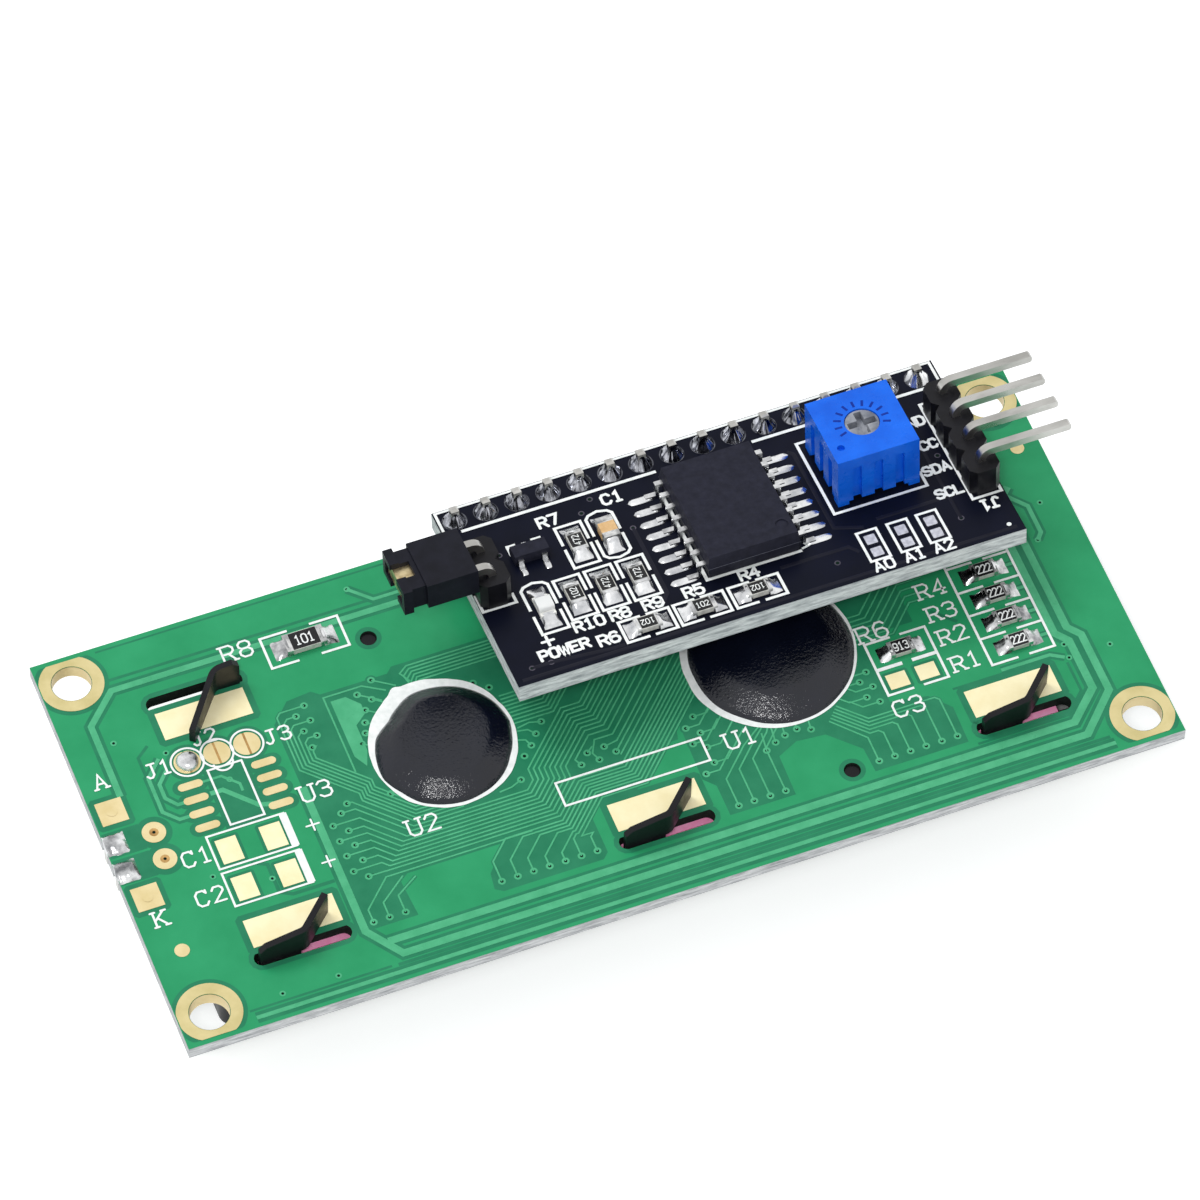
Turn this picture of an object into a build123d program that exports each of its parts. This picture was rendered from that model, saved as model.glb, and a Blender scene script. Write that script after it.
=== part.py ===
"""Character display module, seen from the back, with a two-wire adapter board on its header.

Frame: X along the long side, Y towards the header edge, Z out of the component side.
The origin is the centre of the four mounting holes, on the component face of the display
board. The display faces -Z, and the module lies on the raised beads of its bezel.
All sizes are in millimetres.
"""
import os
from math import cos, pi, radians, sin, tan

from build123d import *

# Display board
BOARD_LENGTH = 80.0
BOARD_WIDTH = 36.0
BOARD_THICKNESS = 1.2
MOUNT_HOLE_INSET = 2.5
MOUNT_HOLE_DIAMETER = 3.1
LOCATING_HOLE_DIAMETER = 1.3
LOCATING_HOLE_X = 15.0
LAMP_HOLE_DIAMETER = 0.7
LAMP_HOLE_INSET = 3.9
EDGE_NOTCH_DIAMETER = 1.2

# Bezel, a folded sheet-metal frame
BEZEL_END_MARGIN = 4.4
BEZEL_WIDTH = 24.5
BEZEL_CENTRE_Y = -0.675
BEZEL_HEIGHT = 7.0
BEZEL_SHEET = 0.5
BEZEL_RIM_CHAMFER = 0.7
BEZEL_CORNER_RADIUS = 1.2
WINDOW_END_MARGIN = 3.35
WINDOW_WIDTH = 14.5
WINDOW_CENTRE_Y = 0.0
WINDOW_CORNER_RADIUS = 1.4
WINDOW_BEVEL = 0.3
BEAD_WIDTH = 1.3
BEAD_HEIGHT = 0.25
BEAD_INSET = 2.0
BEAD_END_INSET = 1.6

# Bezel tabs, which pass through slots in the display board and are bent over it
TAB_PITCH = 29.05
TAB_LIFT = 0.05
TAB_WIDTH = 7.0
TAB_BEND_RADIUS = 0.85
SLOT_LENGTH = 7.7
SLOT_WIDTH = 1.3
SLOT_SHIFT = 0.2
LOWER_TAB_NECK = 3.2
LOWER_TAB_TURN_DEG = 44.0
LOWER_TAB_START_HEIGHT = 1.9
LOWER_TAB_NECK_HEIGHT = 2.45
LOWER_TAB_TIP_HEIGHT = 2.5
UPPER_TAB_NECK = 1.6
UPPER_TAB_TURN_DEG = 52.0
UPPER_TAB_START_HEIGHT = 2.85
UPPER_TAB_NECK_HEIGHT = 2.7
UPPER_TAB_TIP_HEIGHT = 1.6
PEG_CLEARANCE = 0.08
PEG_RECESS = 0.25

# Liquid-crystal stack and backlight, from the bezel sheet down to the display board
FILM_THICKNESS = 0.2
GLASS_THICKNESS = 1.1
FRONT_GLASS_CLEARANCE = 0.3
REAR_GLASS_INSET = 0.2
POLARISER_OVERLAP = 1.4
REAR_POLARISER_INSET = 0.65
TRAY_WIDTH = 19.0
TRAY_FLOOR = 1.1
TRAY_WALL = 0.9
CONTACT_STRIP_INSET = 2.8
CONTACT_STRIP_CLEARANCE = 0.06
EAR_EDGE_GAP = 1.0
EAR_LENGTH = 11.4
EAR_TIP_LENGTH = 5.2
EAR_CENTRE_Y = -0.5
EAR_LIFT = 0.7
EAR_CLEARANCE = 0.15
LAMP_BOARD_THICKNESS = 0.8
LAMP_BOARD_LENGTH = 9.0
LAMP_LEAD_WIDTH = 0.6
LAMP_LEAD_PITCH = 2.5
LAMP_LEAD_THICKNESS = 0.3
LAMP_LEAD_INSET = 0.05
EDGE_SOLDER_DIAMETER = 1.5
EDGE_SOLDER_HEIGHT = 0.45

# Header between the boards, and the tilt of the adapter board that stands on it
PITCH = 2.54
HEADER_COUNT = 16
HEADER_CENTRE_X = 12.95
HEADER_EDGE_INSET = 2.0
HOUSING_HEIGHT = 2.54
HOUSING_WIDTH = 2.5
HOUSING_CHAMFER = 0.5
TILT_DEG = 7.67
SEAT_GAP = 0.01
PIN = 0.64
PIN_TIP_CHAMFER = 0.15
PIN_STUB = 1.5
PIN_TAIL = 1.1
PIN_HOLE_DIAMETER = 1.1
SOLDER_DIAMETER = 1.8
SOLDER_HEIGHT = 1.1

# Adapter board
ADAPTER_LENGTH = 41.25
ADAPTER_WIDTH = 18.9
ADAPTER_THICKNESS = 1.6
ADAPTER_CENTRE_X = 13.13
ADAPTER_ROW_INSET = 1.4
UNDERSIDE_STUB = 0.9
UNDERSIDE_SOLDER_HEIGHT = 0.6

# Right-angle headers on the adapter board
BUS_PIN_COUNT = 4
BUS_PIN_X = 32.4
BUS_CENTRE_V = -7.93
BUS_AXIS_HEIGHT = 3.45
BUS_REACH = 7.35
JUMPER_PIN_COUNT = 2
JUMPER_PIN_X = -6.07
JUMPER_CENTRE_V = -6.87
JUMPER_AXIS_HEIGHT = 3.3
JUMPER_REACH = 6.9
PIN_BEND_RADIUS = 0.75

# Jumper cap and its clip
CAP_LENGTH = 6.0
CAP_WIDTH = 4.7
CAP_THICKNESS = 2.4
CAP_GAP = 1.28
CAP_NECK_START = 4.1
CAP_NECK_INSET = 0.3
CAP_FLANGE = 0.75
CAP_NOTCH_WIDTH = 1.5
CLIP_SHEET = 0.2
CLIP_WIDTH = 3.7
PIN_CLEARANCE = 0.05

# Expander chip, a wide sixteen-lead package
CHIP_X = 13.3
CHIP_V = -7.95
CHIP_LENGTH = 10.3
CHIP_WIDTH = 7.5
CHIP_HEIGHT = 2.3
CHIP_STANDOFF = 0.15
CHIP_LEAD_PITCH = 1.27
CHIP_LEADS_PER_SIDE = 8
CHIP_SPAN = 10.4
CHIP_LEAD_WIDTH = 0.42
CHIP_LEAD_THICKNESS = 0.25
CHIP_LEAD_FOOT = 0.8
CHIP_LEAD_EMBED = 0.3
MOULD_DRAFT_DEG = 7.0
DIMPLE_DIAMETER = 1.0
DIMPLE_DEPTH = 0.1

# Transistor, a three-lead package
TRANSISTOR_X = -2.05
TRANSISTOR_V = -5.5
TRANSISTOR_LENGTH = 2.9
TRANSISTOR_WIDTH = 1.3
TRANSISTOR_HEIGHT = 1.0
TRANSISTOR_SPAN = 2.4
TRANSISTOR_LEAD_WIDTH = 0.42
TRANSISTOR_LEAD_THICKNESS = 0.15
TRANSISTOR_LEAD_FOOT = 0.35
TRANSISTOR_LEAD_SPREAD = 1.9

# Contrast trimmer
TRIMMER_X = 24.75
TRIMMER_V = -6.65
TRIMMER_SIDE = 6.7
TRIMMER_HEIGHT = 4.55
TRIMMER_STANDOFF = 0.35
TRIMMER_FOOT_WIDTH = 0.9
TRIMMER_ROOF = 1.1
TRIMMER_WALL = 0.75
TRIMMER_GROOVE_DEPTH = 0.35
TRIMMER_GROOVE_WIDTH = 0.72
TRIMMER_GROOVE_PITCH = 1.75
TRIMMER_RIM = 1.0
TRIMMER_DIMPLE_DIAMETER = 0.6
TRIMMER_DIMPLE_DEPTH = 0.4
TRIMMER_DIMPLE_INSET_X = 0.85
TRIMMER_DIMPLE_INSET_Y = 1.45
ROTOR_DIAMETER = 2.64
ROTOR_FLANGE_DIAMETER = 4.6
ROTOR_FLANGE_HEIGHT = 1.0
ROTOR_RECESS = 0.12
ROTOR_SLOT_WIDTH = 0.6
ROTOR_SLOT_DEPTH = 0.7
ROTOR_CLEARANCE = 0.05
WIPER_DIAMETER = 4.0
WIPER_THICKNESS = 0.2
SUBSTRATE_THICKNESS = 0.7
TRIMMER_PIN_DIAMETER = 0.6

# Chip resistors, capacitor and lamp: length, width and height
SMALL_CHIP = (2.0, 1.25, 0.5)
LARGE_CHIP = (3.2, 1.6, 0.6)
CAPACITOR_CHIP = (2.1, 1.3, 0.95)
LAMP_CHIP = (2.0, 1.25, 0.3)
LAMP_LENS_HEIGHT = 0.5
LAMP_LENS_LENGTH = 1.3
TERMINAL_LENGTH = 0.4
TERMINAL_STEP = 0.03
CHIP_SEAT = 0.05

# Chip-on-board drivers under poured resin
DRIVER_DOMES = {"driver_dome_u1": (13.0, -0.25, 6.55), "driver_dome_u2": (-13.0, 0.75, 5.5)}
DOME_HEIGHT = 1.3

# Components of the display board: centre X, centre Y and size
RESISTOR_COLUMN_INSET = 8.8
RESISTOR_COLUMN = BOARD_LENGTH / 2 - RESISTOR_COLUMN_INSET
DISPLAY_RESISTORS = {
    "display_resistor_r1": (RESISTOR_COLUMN, -6.2, SMALL_CHIP),
    "display_resistor_r2": (RESISTOR_COLUMN, -3.85, SMALL_CHIP),
    "display_resistor_r3": (RESISTOR_COLUMN, -1.6, SMALL_CHIP),
    "display_resistor_r4": (RESISTOR_COLUMN, 0.7, SMALL_CHIP),
    "display_resistor_r5": (RESISTOR_COLUMN, 3.0, SMALL_CHIP),
    "display_resistor_r6": (22.55, -3.65, SMALL_CHIP),
    "display_resistor_r8": (-19.7, 12.85, LARGE_CHIP),
}
LINK_BALL_INSET = 8.33
LINK_BALL = (-BOARD_LENGTH / 2 + LINK_BALL_INSET, 5.76)
LINK_BALL_DIAMETER = 1.9
LINK_BALL_HEIGHT = 0.6

# Components of the adapter board: X, distance from the header row, and turn about the normal
ADAPTER_RESISTORS = {
    "adapter_resistor_r4": (12.57, -15.5, 0),
    "adapter_resistor_r5": (8.1, -15.5, 0),
    "adapter_resistor_r6": (3.65, -15.5, 0),
    "adapter_resistor_r7": (1.65, -5.8, 90),
    "adapter_resistor_r8": (2.17, -10.7, 90),
    "adapter_resistor_r9": (4.75, -10.7, 90),
    "adapter_resistor_r10": (-0.38, -10.7, 90),
}
CAPACITOR_PLACE = (4.2, -5.8, 90)
LAMP_PLACE = (-2.92, -10.85, 90)

# Places that follow from the sizes above
MOUNT_SPACING_X = BOARD_LENGTH - 2 * MOUNT_HOLE_INSET
MOUNT_SPACING_Y = BOARD_WIDTH - 2 * MOUNT_HOLE_INSET
LAMP_HOLE_X = -BOARD_LENGTH / 2 + LAMP_HOLE_INSET
BEZEL_LENGTH = BOARD_LENGTH - 2 * BEZEL_END_MARGIN
WINDOW_LENGTH = BEZEL_LENGTH - 2 * WINDOW_END_MARGIN
EAR_TIP_X = -BOARD_LENGTH / 2 + EAR_EDGE_GAP
REAR_GLASS_WIDTH = TRAY_WIDTH - 2 * REAR_GLASS_INSET
HEADER_ROW_Y = BOARD_WIDTH / 2 - HEADER_EDGE_INSET
FRONT_Z = -BOARD_THICKNESS
BEZEL_FACE_Z = FRONT_Z - BEZEL_HEIGHT
TAB_UPPER_Y = BEZEL_CENTRE_Y + (BEZEL_WIDTH - BEZEL_SHEET) / 2
TAB_LOWER_Y = BEZEL_CENTRE_Y - (BEZEL_WIDTH - BEZEL_SHEET) / 2
STACK_TOP = BEZEL_HEIGHT - BEZEL_SHEET
FRONT_GLASS_TOP = STACK_TOP - FILM_THICKNESS
REAR_GLASS_TOP = FRONT_GLASS_TOP - GLASS_THICKNESS
REAR_POLARISER_TOP = REAR_GLASS_TOP - GLASS_THICKNESS
DIFFUSER_TOP = REAR_POLARISER_TOP - FILM_THICKNESS
TRAY_TOP = DIFFUSER_TOP - FILM_THICKNESS
FRONT_GLASS_LENGTH = BEZEL_LENGTH - 2 * BEZEL_SHEET - 2 * FRONT_GLASS_CLEARANCE
FRONT_GLASS_WIDTH = BEZEL_WIDTH - 2 * BEZEL_SHEET - 2 * FRONT_GLASS_CLEARANCE
CONTACT_STRIP_LENGTH = FRONT_GLASS_LENGTH - 2 * CONTACT_STRIP_INSET
HOUSING_SEAT = HOUSING_WIDTH / 2 * tan(radians(TILT_DEG)) + SEAT_GAP
ADAPTER_BASE = HOUSING_SEAT + HOUSING_HEIGHT
ADAPTER_TOP = ADAPTER_BASE + ADAPTER_THICKNESS
TRIMMER_PINS = ((-PITCH, PITCH / 2), (PITCH, PITCH / 2), (0, -PITCH / 2))
ON_ROW = Pos(0, HEADER_ROW_Y, 0) * Rot(-TILT_DEG, 0, 0)
ON_ADAPTER = ON_ROW * Pos(0, 0, ADAPTER_TOP)


def save(node, shape):
    """Write one sub-part, or a group of like ones, under its node name."""
    export_step(shape, f"parts/{node}.step")


def row(count, pitch, centre=0.0):
    """Evenly spaced positions about a centre."""
    return [centre + (i - (count - 1) / 2) * pitch for i in range(count)]


def plate(length, width, low, high, x=0.0, y=0.0):
    """Plain slab between two levels."""
    return Pos(x, y, (low + high) / 2) * Box(length, width, high - low)


def below_board(length, width, near, far, x=0.0, y=0.0):
    """Slab on the display side, between two distances from the board's front face."""
    return plate(length, width, FRONT_Z - far, FRONT_Z - near, x, y)


def header_xs():
    return row(HEADER_COUNT, PITCH, HEADER_CENTRE_X)


def row_offset(z):
    """Y of the leaning header pins at a level of the display board."""
    return HEADER_ROW_Y + z * tan(radians(TILT_DEG))


def lcd_board():
    """Display board with its mounting holes, tab slots, header holes and edge notches."""
    board = plate(BOARD_LENGTH, BOARD_WIDTH, FRONT_Z, 0)
    mid = FRONT_Z / 2
    depth = 2 * BOARD_THICKNESS
    mount_drill = Cylinder(MOUNT_HOLE_DIAMETER / 2, depth)
    board -= [Pos(sx * MOUNT_SPACING_X / 2, sy * MOUNT_SPACING_Y / 2, mid) * mount_drill
              for sx in (-1, 1) for sy in (-1, 1)]
    pin_drill = Cylinder(PIN_HOLE_DIAMETER / 2, depth)
    board -= [Pos(x, row_offset(mid), mid) * pin_drill for x in header_xs()]
    slot = extrude(SlotOverall(SLOT_LENGTH, SLOT_WIDTH), depth / 2, both=True)
    board -= [Pos(x, y, mid) * slot for x in row(3, TAB_PITCH) for y in slot_rows()]
    locating_drill = Cylinder(LOCATING_HOLE_DIAMETER / 2, depth)
    upper, lower = slot_rows()
    board -= Pos(-LOCATING_HOLE_X, upper, mid) * locating_drill
    board -= Pos(LOCATING_HOLE_X, lower, mid) * locating_drill
    notch = Cylinder(EDGE_NOTCH_DIAMETER / 2, depth)
    lamp_drill = Cylinder(LAMP_HOLE_DIAMETER / 2, depth)
    for y in row(2, LAMP_LEAD_PITCH, EAR_CENTRE_Y):
        board -= Pos(-BOARD_LENGTH / 2, y, mid) * notch
        board -= Pos(LAMP_HOLE_X, y, mid) * lamp_drill
    return board


def slot_rows():
    """Y of the slot centres; the tabs stand a little off them."""
    return TAB_UPPER_Y + SLOT_SHIFT, TAB_LOWER_Y + SLOT_SHIFT


def tab_profile(neck, turn_deg):
    """Plan of a tab's free half: an arc from the neck's end, then a straight tail."""
    half = BEZEL_SHEET / 2
    turn = radians(turn_deg)
    tail = TAB_WIDTH - neck - TAB_BEND_RADIUS * turn
    outer, inner = TAB_BEND_RADIUS + half, TAB_BEND_RADIUS - half
    ahead = (cos(turn) * tail, sin(turn) * tail)
    outer_end = (neck + outer * sin(turn), TAB_BEND_RADIUS - outer * cos(turn))
    inner_end = (neck + inner * sin(turn), TAB_BEND_RADIUS - inner * cos(turn))
    outer_tip = (outer_end[0] + ahead[0], outer_end[1] + ahead[1])
    inner_tip = (inner_end[0] + ahead[0], inner_end[1] + ahead[1])
    outline = Curve() + [
        CenterArc((neck, TAB_BEND_RADIUS), outer, -90, turn_deg),
        Line(outer_end, outer_tip),
        Line(outer_tip, inner_tip),
        Line(inner_tip, inner_end),
        CenterArc((neck, TAB_BEND_RADIUS), inner, -90, turn_deg),
        Line((neck, half), (neck, -half)),
    ]
    return make_face(outline)


def tab(neck, turn_deg, start_height, neck_height, tip_height):
    """Tab standing in its slot from x = 0; its neck stays straight and the rest bends over."""
    root = FRONT_Z - BEZEL_SHEET
    top = max(start_height, neck_height, tip_height)
    post = Pos(neck / 2, 0, (top + root) / 2) * Box(neck, BEZEL_SHEET, top - root)
    plan = tab_profile(neck, turn_deg)
    free = Pos(0, 0, TAB_LIFT) * extrude(plan, top - TAB_LIFT)
    tip = plan.bounding_box().max.X
    side = Polyline((0, root), (0, start_height - BEZEL_SHEET), (BEZEL_SHEET, start_height),
                    (neck, neck_height), (tip, tip_height), (tip, root), close=True)
    envelope = extrude(Plane.XZ * make_face(side), TAB_WIDTH, both=True)
    return (post + free) & envelope


def locating_peg():
    """Round peg on the bezel's edge that stands in a locating hole of the display board."""
    peg_top = -PEG_RECESS
    peg_foot = FRONT_Z - BEZEL_SHEET
    return Pos(0, 0, (peg_top + peg_foot) / 2) * Cylinder(
        LOCATING_HOLE_DIAMETER / 2 - PEG_CLEARANCE, peg_top - peg_foot)


def rim_block(inset, near, far, rim):
    """Rounded block open towards the board, with a chamfer round its display-side rim."""
    outline = RectangleRounded(BEZEL_LENGTH - 2 * inset, BEZEL_WIDTH - 2 * inset,
                               BEZEL_CORNER_RADIUS - inset)
    block = Pos(0, BEZEL_CENTRE_Y, FRONT_Z - far) * extrude(outline, far - near)
    return chamfer(block.edges().group_by(Axis.Z)[0], rim)


def bezel_beads():
    """Two raised beads with round ends, one along each long side of the window."""
    bead_length = BEZEL_LENGTH - 2 * BEAD_END_INSET
    shape = extrude(SlotOverall(bead_length, BEAD_WIDTH), BEAD_HEIGHT + BEZEL_SHEET / 2)
    shape = chamfer(shape.edges().group_by(Axis.Z)[0], BEAD_HEIGHT * 0.8)
    reach = BEZEL_WIDTH / 2 - BEAD_INSET
    return [Pos(0, BEZEL_CENTRE_Y + side * reach, BEZEL_FACE_Z - BEAD_HEIGHT) * shape
            for side in (-1, 1)]


def bezel():
    """Sheet-metal frame with window, beads, an opening for the lamp ear and six tabs."""
    shell = rim_block(0, 0, BEZEL_HEIGHT, BEZEL_RIM_CHAMFER)
    shell -= rim_block(BEZEL_SHEET, -BEZEL_SHEET, STACK_TOP, BEZEL_RIM_CHAMFER - BEZEL_SHEET / 2)
    shell += bezel_beads()
    window = RectangleRounded(WINDOW_LENGTH, WINDOW_WIDTH, WINDOW_CORNER_RADIUS)
    opening = Pos(0, WINDOW_CENTRE_Y, BEZEL_FACE_Z - BEZEL_SHEET) * extrude(window, 2 * BEZEL_SHEET)
    shell -= opening
    sill = shell.edges().filter_by(lambda e: on_window_sill(e))
    shell = chamfer(sill, WINDOW_BEVEL)
    ear_gap = below_board(4 * BEZEL_SHEET, EAR_LENGTH + 2 * EAR_CLEARANCE,
                          -BEZEL_SHEET, TRAY_TOP + EAR_CLEARANCE, -BEZEL_LENGTH / 2, EAR_CENTRE_Y)
    shell -= ear_gap
    lower = tab(LOWER_TAB_NECK, LOWER_TAB_TURN_DEG, LOWER_TAB_START_HEIGHT,
                LOWER_TAB_NECK_HEIGHT, LOWER_TAB_TIP_HEIGHT)
    upper = Rot(0, 0, 180) * tab(UPPER_TAB_NECK, UPPER_TAB_TURN_DEG, UPPER_TAB_START_HEIGHT,
                                 UPPER_TAB_NECK_HEIGHT, UPPER_TAB_TIP_HEIGHT)
    shell += [Pos(x - TAB_WIDTH / 2, TAB_LOWER_Y, 0) * lower for x in row(3, TAB_PITCH)]
    shell += [Pos(x + TAB_WIDTH / 2, TAB_UPPER_Y, 0) * upper for x in row(3, TAB_PITCH)]
    upper_row, lower_row = slot_rows()
    shell += [Pos(-LOCATING_HOLE_X, upper_row, 0) * locating_peg(),
              Pos(LOCATING_HOLE_X, lower_row, 0) * locating_peg()]
    return shell


def on_window_sill(edge):
    """True for the window's edges on the outer face of the bezel."""
    centre = edge.center()
    level = abs(centre.Z - BEZEL_FACE_Z) < 1e-3 and abs(edge.bounding_box().size.Z) < 1e-3
    inside = abs(centre.X) <= WINDOW_LENGTH / 2 + 1e-3
    return level and inside and abs(centre.Y - WINDOW_CENTRE_Y) <= WINDOW_WIDTH / 2 + 1e-3


def front_glass():
    """Larger pane; its two long ledges carry the contacts."""
    return below_board(FRONT_GLASS_LENGTH, FRONT_GLASS_WIDTH, REAR_GLASS_TOP, FRONT_GLASS_TOP,
                       y=BEZEL_CENTRE_Y)


def rear_glass():
    return below_board(FRONT_GLASS_LENGTH, REAR_GLASS_WIDTH, REAR_POLARISER_TOP, REAR_GLASS_TOP,
                       y=BEZEL_CENTRE_Y)


def front_polariser():
    """Film on the front pane, a little larger than the window."""
    return below_board(WINDOW_LENGTH + 2 * POLARISER_OVERLAP, WINDOW_WIDTH + 2 * POLARISER_OVERLAP,
                       FRONT_GLASS_TOP, STACK_TOP, y=WINDOW_CENTRE_Y)


def rear_polariser():
    """Film behind the rear pane, held in from that pane's long edges."""
    return below_board(WINDOW_LENGTH + 2 * POLARISER_OVERLAP, REAR_GLASS_WIDTH - 2 * REAR_POLARISER_INSET,
                       DIFFUSER_TOP, REAR_POLARISER_TOP, y=BEZEL_CENTRE_Y)


def diffuser_film():
    """Matt film over the tray and its light guide."""
    return below_board(FRONT_GLASS_LENGTH - TRAY_WALL, TRAY_WIDTH - TRAY_WALL, TRAY_TOP,
                       DIFFUSER_TOP, y=BEZEL_CENTRE_Y)


def guide_length():
    return FRONT_GLASS_LENGTH - 2 * TRAY_WALL - LAMP_BOARD_THICKNESS


def light_guide():
    """Clear slab in the tray, lit from its end beside the ear."""
    return below_board(guide_length(), TRAY_WIDTH - 2 * TRAY_WALL, TRAY_FLOOR, TRAY_TOP,
                       x=LAMP_BOARD_THICKNESS / 2, y=BEZEL_CENTRE_Y)


def ear():
    """Ear of the tray that reaches out through the end of the bezel, narrower at its tip."""
    inner, tip = -FRONT_GLASS_LENGTH / 2, EAR_TIP_X
    half, half_tip = EAR_LENGTH / 2, EAR_TIP_LENGTH / 2
    shoulder = -BEZEL_LENGTH / 2 - BEZEL_SHEET
    outline = Polyline((inner, half), (shoulder, half), (tip, half_tip), (tip, -half_tip),
                       (shoulder, -half), (inner, -half), close=True)
    face = make_face(outline)
    tips = face.vertices().sort_by(Axis.X)[0:2]
    face = fillet(tips, EAR_TIP_LENGTH / 4)
    return Pos(0, EAR_CENTRE_Y, FRONT_Z - TRAY_TOP) * extrude(face, TRAY_TOP - EAR_LIFT)


def backlight_tray():
    """White tray that holds the light guide and the lamp board, moulded with its ear."""
    tray = below_board(FRONT_GLASS_LENGTH, TRAY_WIDTH, 0, TRAY_TOP, y=BEZEL_CENTRE_Y) + ear()
    tray -= below_board(guide_length(), TRAY_WIDTH - 2 * TRAY_WALL, TRAY_FLOOR, TRAY_TOP,
                        x=LAMP_BOARD_THICKNESS / 2, y=BEZEL_CENTRE_Y)
    tray -= lamp_board_block()
    return tray


def lamp_board_block():
    """Space of the lamp board at the lit end of the guide."""
    x = -FRONT_GLASS_LENGTH / 2 + TRAY_WALL + LAMP_BOARD_THICKNESS / 2
    return below_board(LAMP_BOARD_THICKNESS, LAMP_BOARD_LENGTH, TRAY_FLOOR, TRAY_TOP, x, EAR_CENTRE_Y)


def lamp_leads():
    """Two flat leads from the ear's underside to the notches in the board's edge."""
    inner = EAR_TIP_X + LAMP_LEAD_WIDTH
    outer = -BOARD_LENGTH / 2 + LAMP_LEAD_INSET
    low, sheet = FRONT_Z - EAR_LIFT, LAMP_LEAD_THICKNESS
    blade = Polyline((inner, low), (inner, low + sheet), (outer + sheet, low + sheet),
                     (outer + sheet, 0), (outer, 0), (outer, low), close=True)
    lead = extrude(Plane.XZ * make_face(blade), LAMP_LEAD_WIDTH / 2, both=True)
    return Compound(children=[Pos(0, y, 0) * lead for y in row(2, LAMP_LEAD_PITCH, EAR_CENTRE_Y)])


def edge_solder():
    """Two flat lumps of solder on the component face, over the edge notches."""
    lumps = []
    for y in row(2, LAMP_LEAD_PITCH, EAR_CENTRE_Y):
        lump = Cylinder(EDGE_SOLDER_DIAMETER / 2, EDGE_SOLDER_HEIGHT,
                        align=(Align.CENTER, Align.CENTER, Align.MIN))
        lump = chamfer(lump.edges().group_by(Axis.Z)[-1], EDGE_SOLDER_HEIGHT / 2)
        keep = plate(EDGE_SOLDER_DIAMETER, EDGE_SOLDER_DIAMETER, 0, EDGE_SOLDER_HEIGHT,
                     x=EDGE_SOLDER_DIAMETER / 2)
        lumps.append(Pos(-BOARD_LENGTH / 2, y, 0) * (lump & keep))
    return Compound(children=lumps)


def contact_strip(side):
    """Rubber contact strip between the front pane's ledge and the display board."""
    wall = BEZEL_CENTRE_Y + side * (BEZEL_WIDTH / 2 - BEZEL_SHEET)
    tray = BEZEL_CENTRE_Y + side * TRAY_WIDTH / 2
    width = abs(wall - tray) - 2 * CONTACT_STRIP_CLEARANCE
    return below_board(CONTACT_STRIP_LENGTH, width, 0, REAR_GLASS_TOP, y=(wall + tray) / 2)


def housing(count):
    """Header strip with chamfered cells in line along X, standing on z = 0."""
    cell = chamfer(Rectangle(PITCH, HOUSING_WIDTH).vertices(), HOUSING_CHAMFER)
    bridge = Rectangle(PITCH * (count - 1), HOUSING_WIDTH - 2 * HOUSING_CHAMFER)
    outline = bridge + [Pos(x, 0, 0) * cell for x in row(count, PITCH)]
    holes = [Pos(x, 0, 0) * Rectangle(PIN, PIN) for x in row(count, PITCH)]
    return extrude(outline - holes, HOUSING_HEIGHT)


def straight_pin(low, high):
    """Square pin along Z with both tips chamfered."""
    pin = plate(PIN, PIN, low, high)
    ends = pin.edges().group_by(Axis.Z)
    return chamfer(ends[0] + ends[-1], PIN_TIP_CHAMFER)


def bent_pin(low, rise, reach):
    """Square pin: up from z = low, round a bend, then out to x = reach at the height rise."""
    half, radius, tip = PIN / 2, PIN_BEND_RADIUS, PIN_TIP_CHAMFER
    bend = (radius, rise - radius)
    outline = Curve() + [
        Line((-half, low + tip), (-half, rise - radius)),
        CenterArc(bend, radius + half, 90, 90),
        Line((radius, rise + half), (reach - tip, rise + half)),
        Line((reach - tip, rise + half), (reach, rise + half - tip)),
        Line((reach, rise + half - tip), (reach, rise - half + tip)),
        Line((reach, rise - half + tip), (reach - tip, rise - half)),
        Line((reach - tip, rise - half), (radius, rise - half)),
        CenterArc(bend, radius - half, 90, 90),
        Line((half, rise - radius), (half, low + tip)),
        Line((half, low + tip), (half - tip, low)),
        Line((half - tip, low), (-half + tip, low)),
        Line((-half + tip, low), (-half, low + tip)),
    ]
    return extrude(Plane.XZ * make_face(outline), half, both=True)


def solder_cone(height, core):
    """Waisted, eight-sided solder joint round a pin, standing on z = 0."""
    foot, neck = SOLDER_DIAMETER / 2, PIN * 0.75
    levels = ((0, foot), (height * 0.35, (foot + neck) / 2.2), (height, neck))
    return loft([Pos(0, 0, z) * RegularPolygon(radius, 8) for z, radius in levels], ruled=True) - core


def header_parts():
    """Straight header: housing, pins, and the solder joints on both boards."""
    strip = ON_ROW * Pos(HEADER_CENTRE_X, 0, HOUSING_SEAT) * housing(HEADER_COUNT)
    low = -(BOARD_THICKNESS + PIN_TAIL) / cos(radians(TILT_DEG))
    pin = straight_pin(low, ADAPTER_TOP + PIN_STUB)
    pins = [ON_ROW * Pos(x, 0, 0) * pin for x in header_xs()]
    core = plate(PIN, PIN, -SOLDER_HEIGHT, 2 * SOLDER_HEIGHT)
    joint = solder_cone(SOLDER_HEIGHT, core)
    upper = [ON_ADAPTER * Pos(x, 0, 0) * joint for x in header_xs()]
    leaning = Pos(0, -row_offset(FRONT_Z), -FRONT_Z) * ON_ROW * pin
    seated = Rot(180, 0, 0) * solder_cone(PIN_TAIL * 0.8, Rot(180, 0, 0) * leaning)
    lower = [Pos(x, row_offset(FRONT_Z), FRONT_Z) * seated for x in header_xs()]
    return strip, Compound(children=pins), Compound(children=upper), Compound(children=lower)


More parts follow.
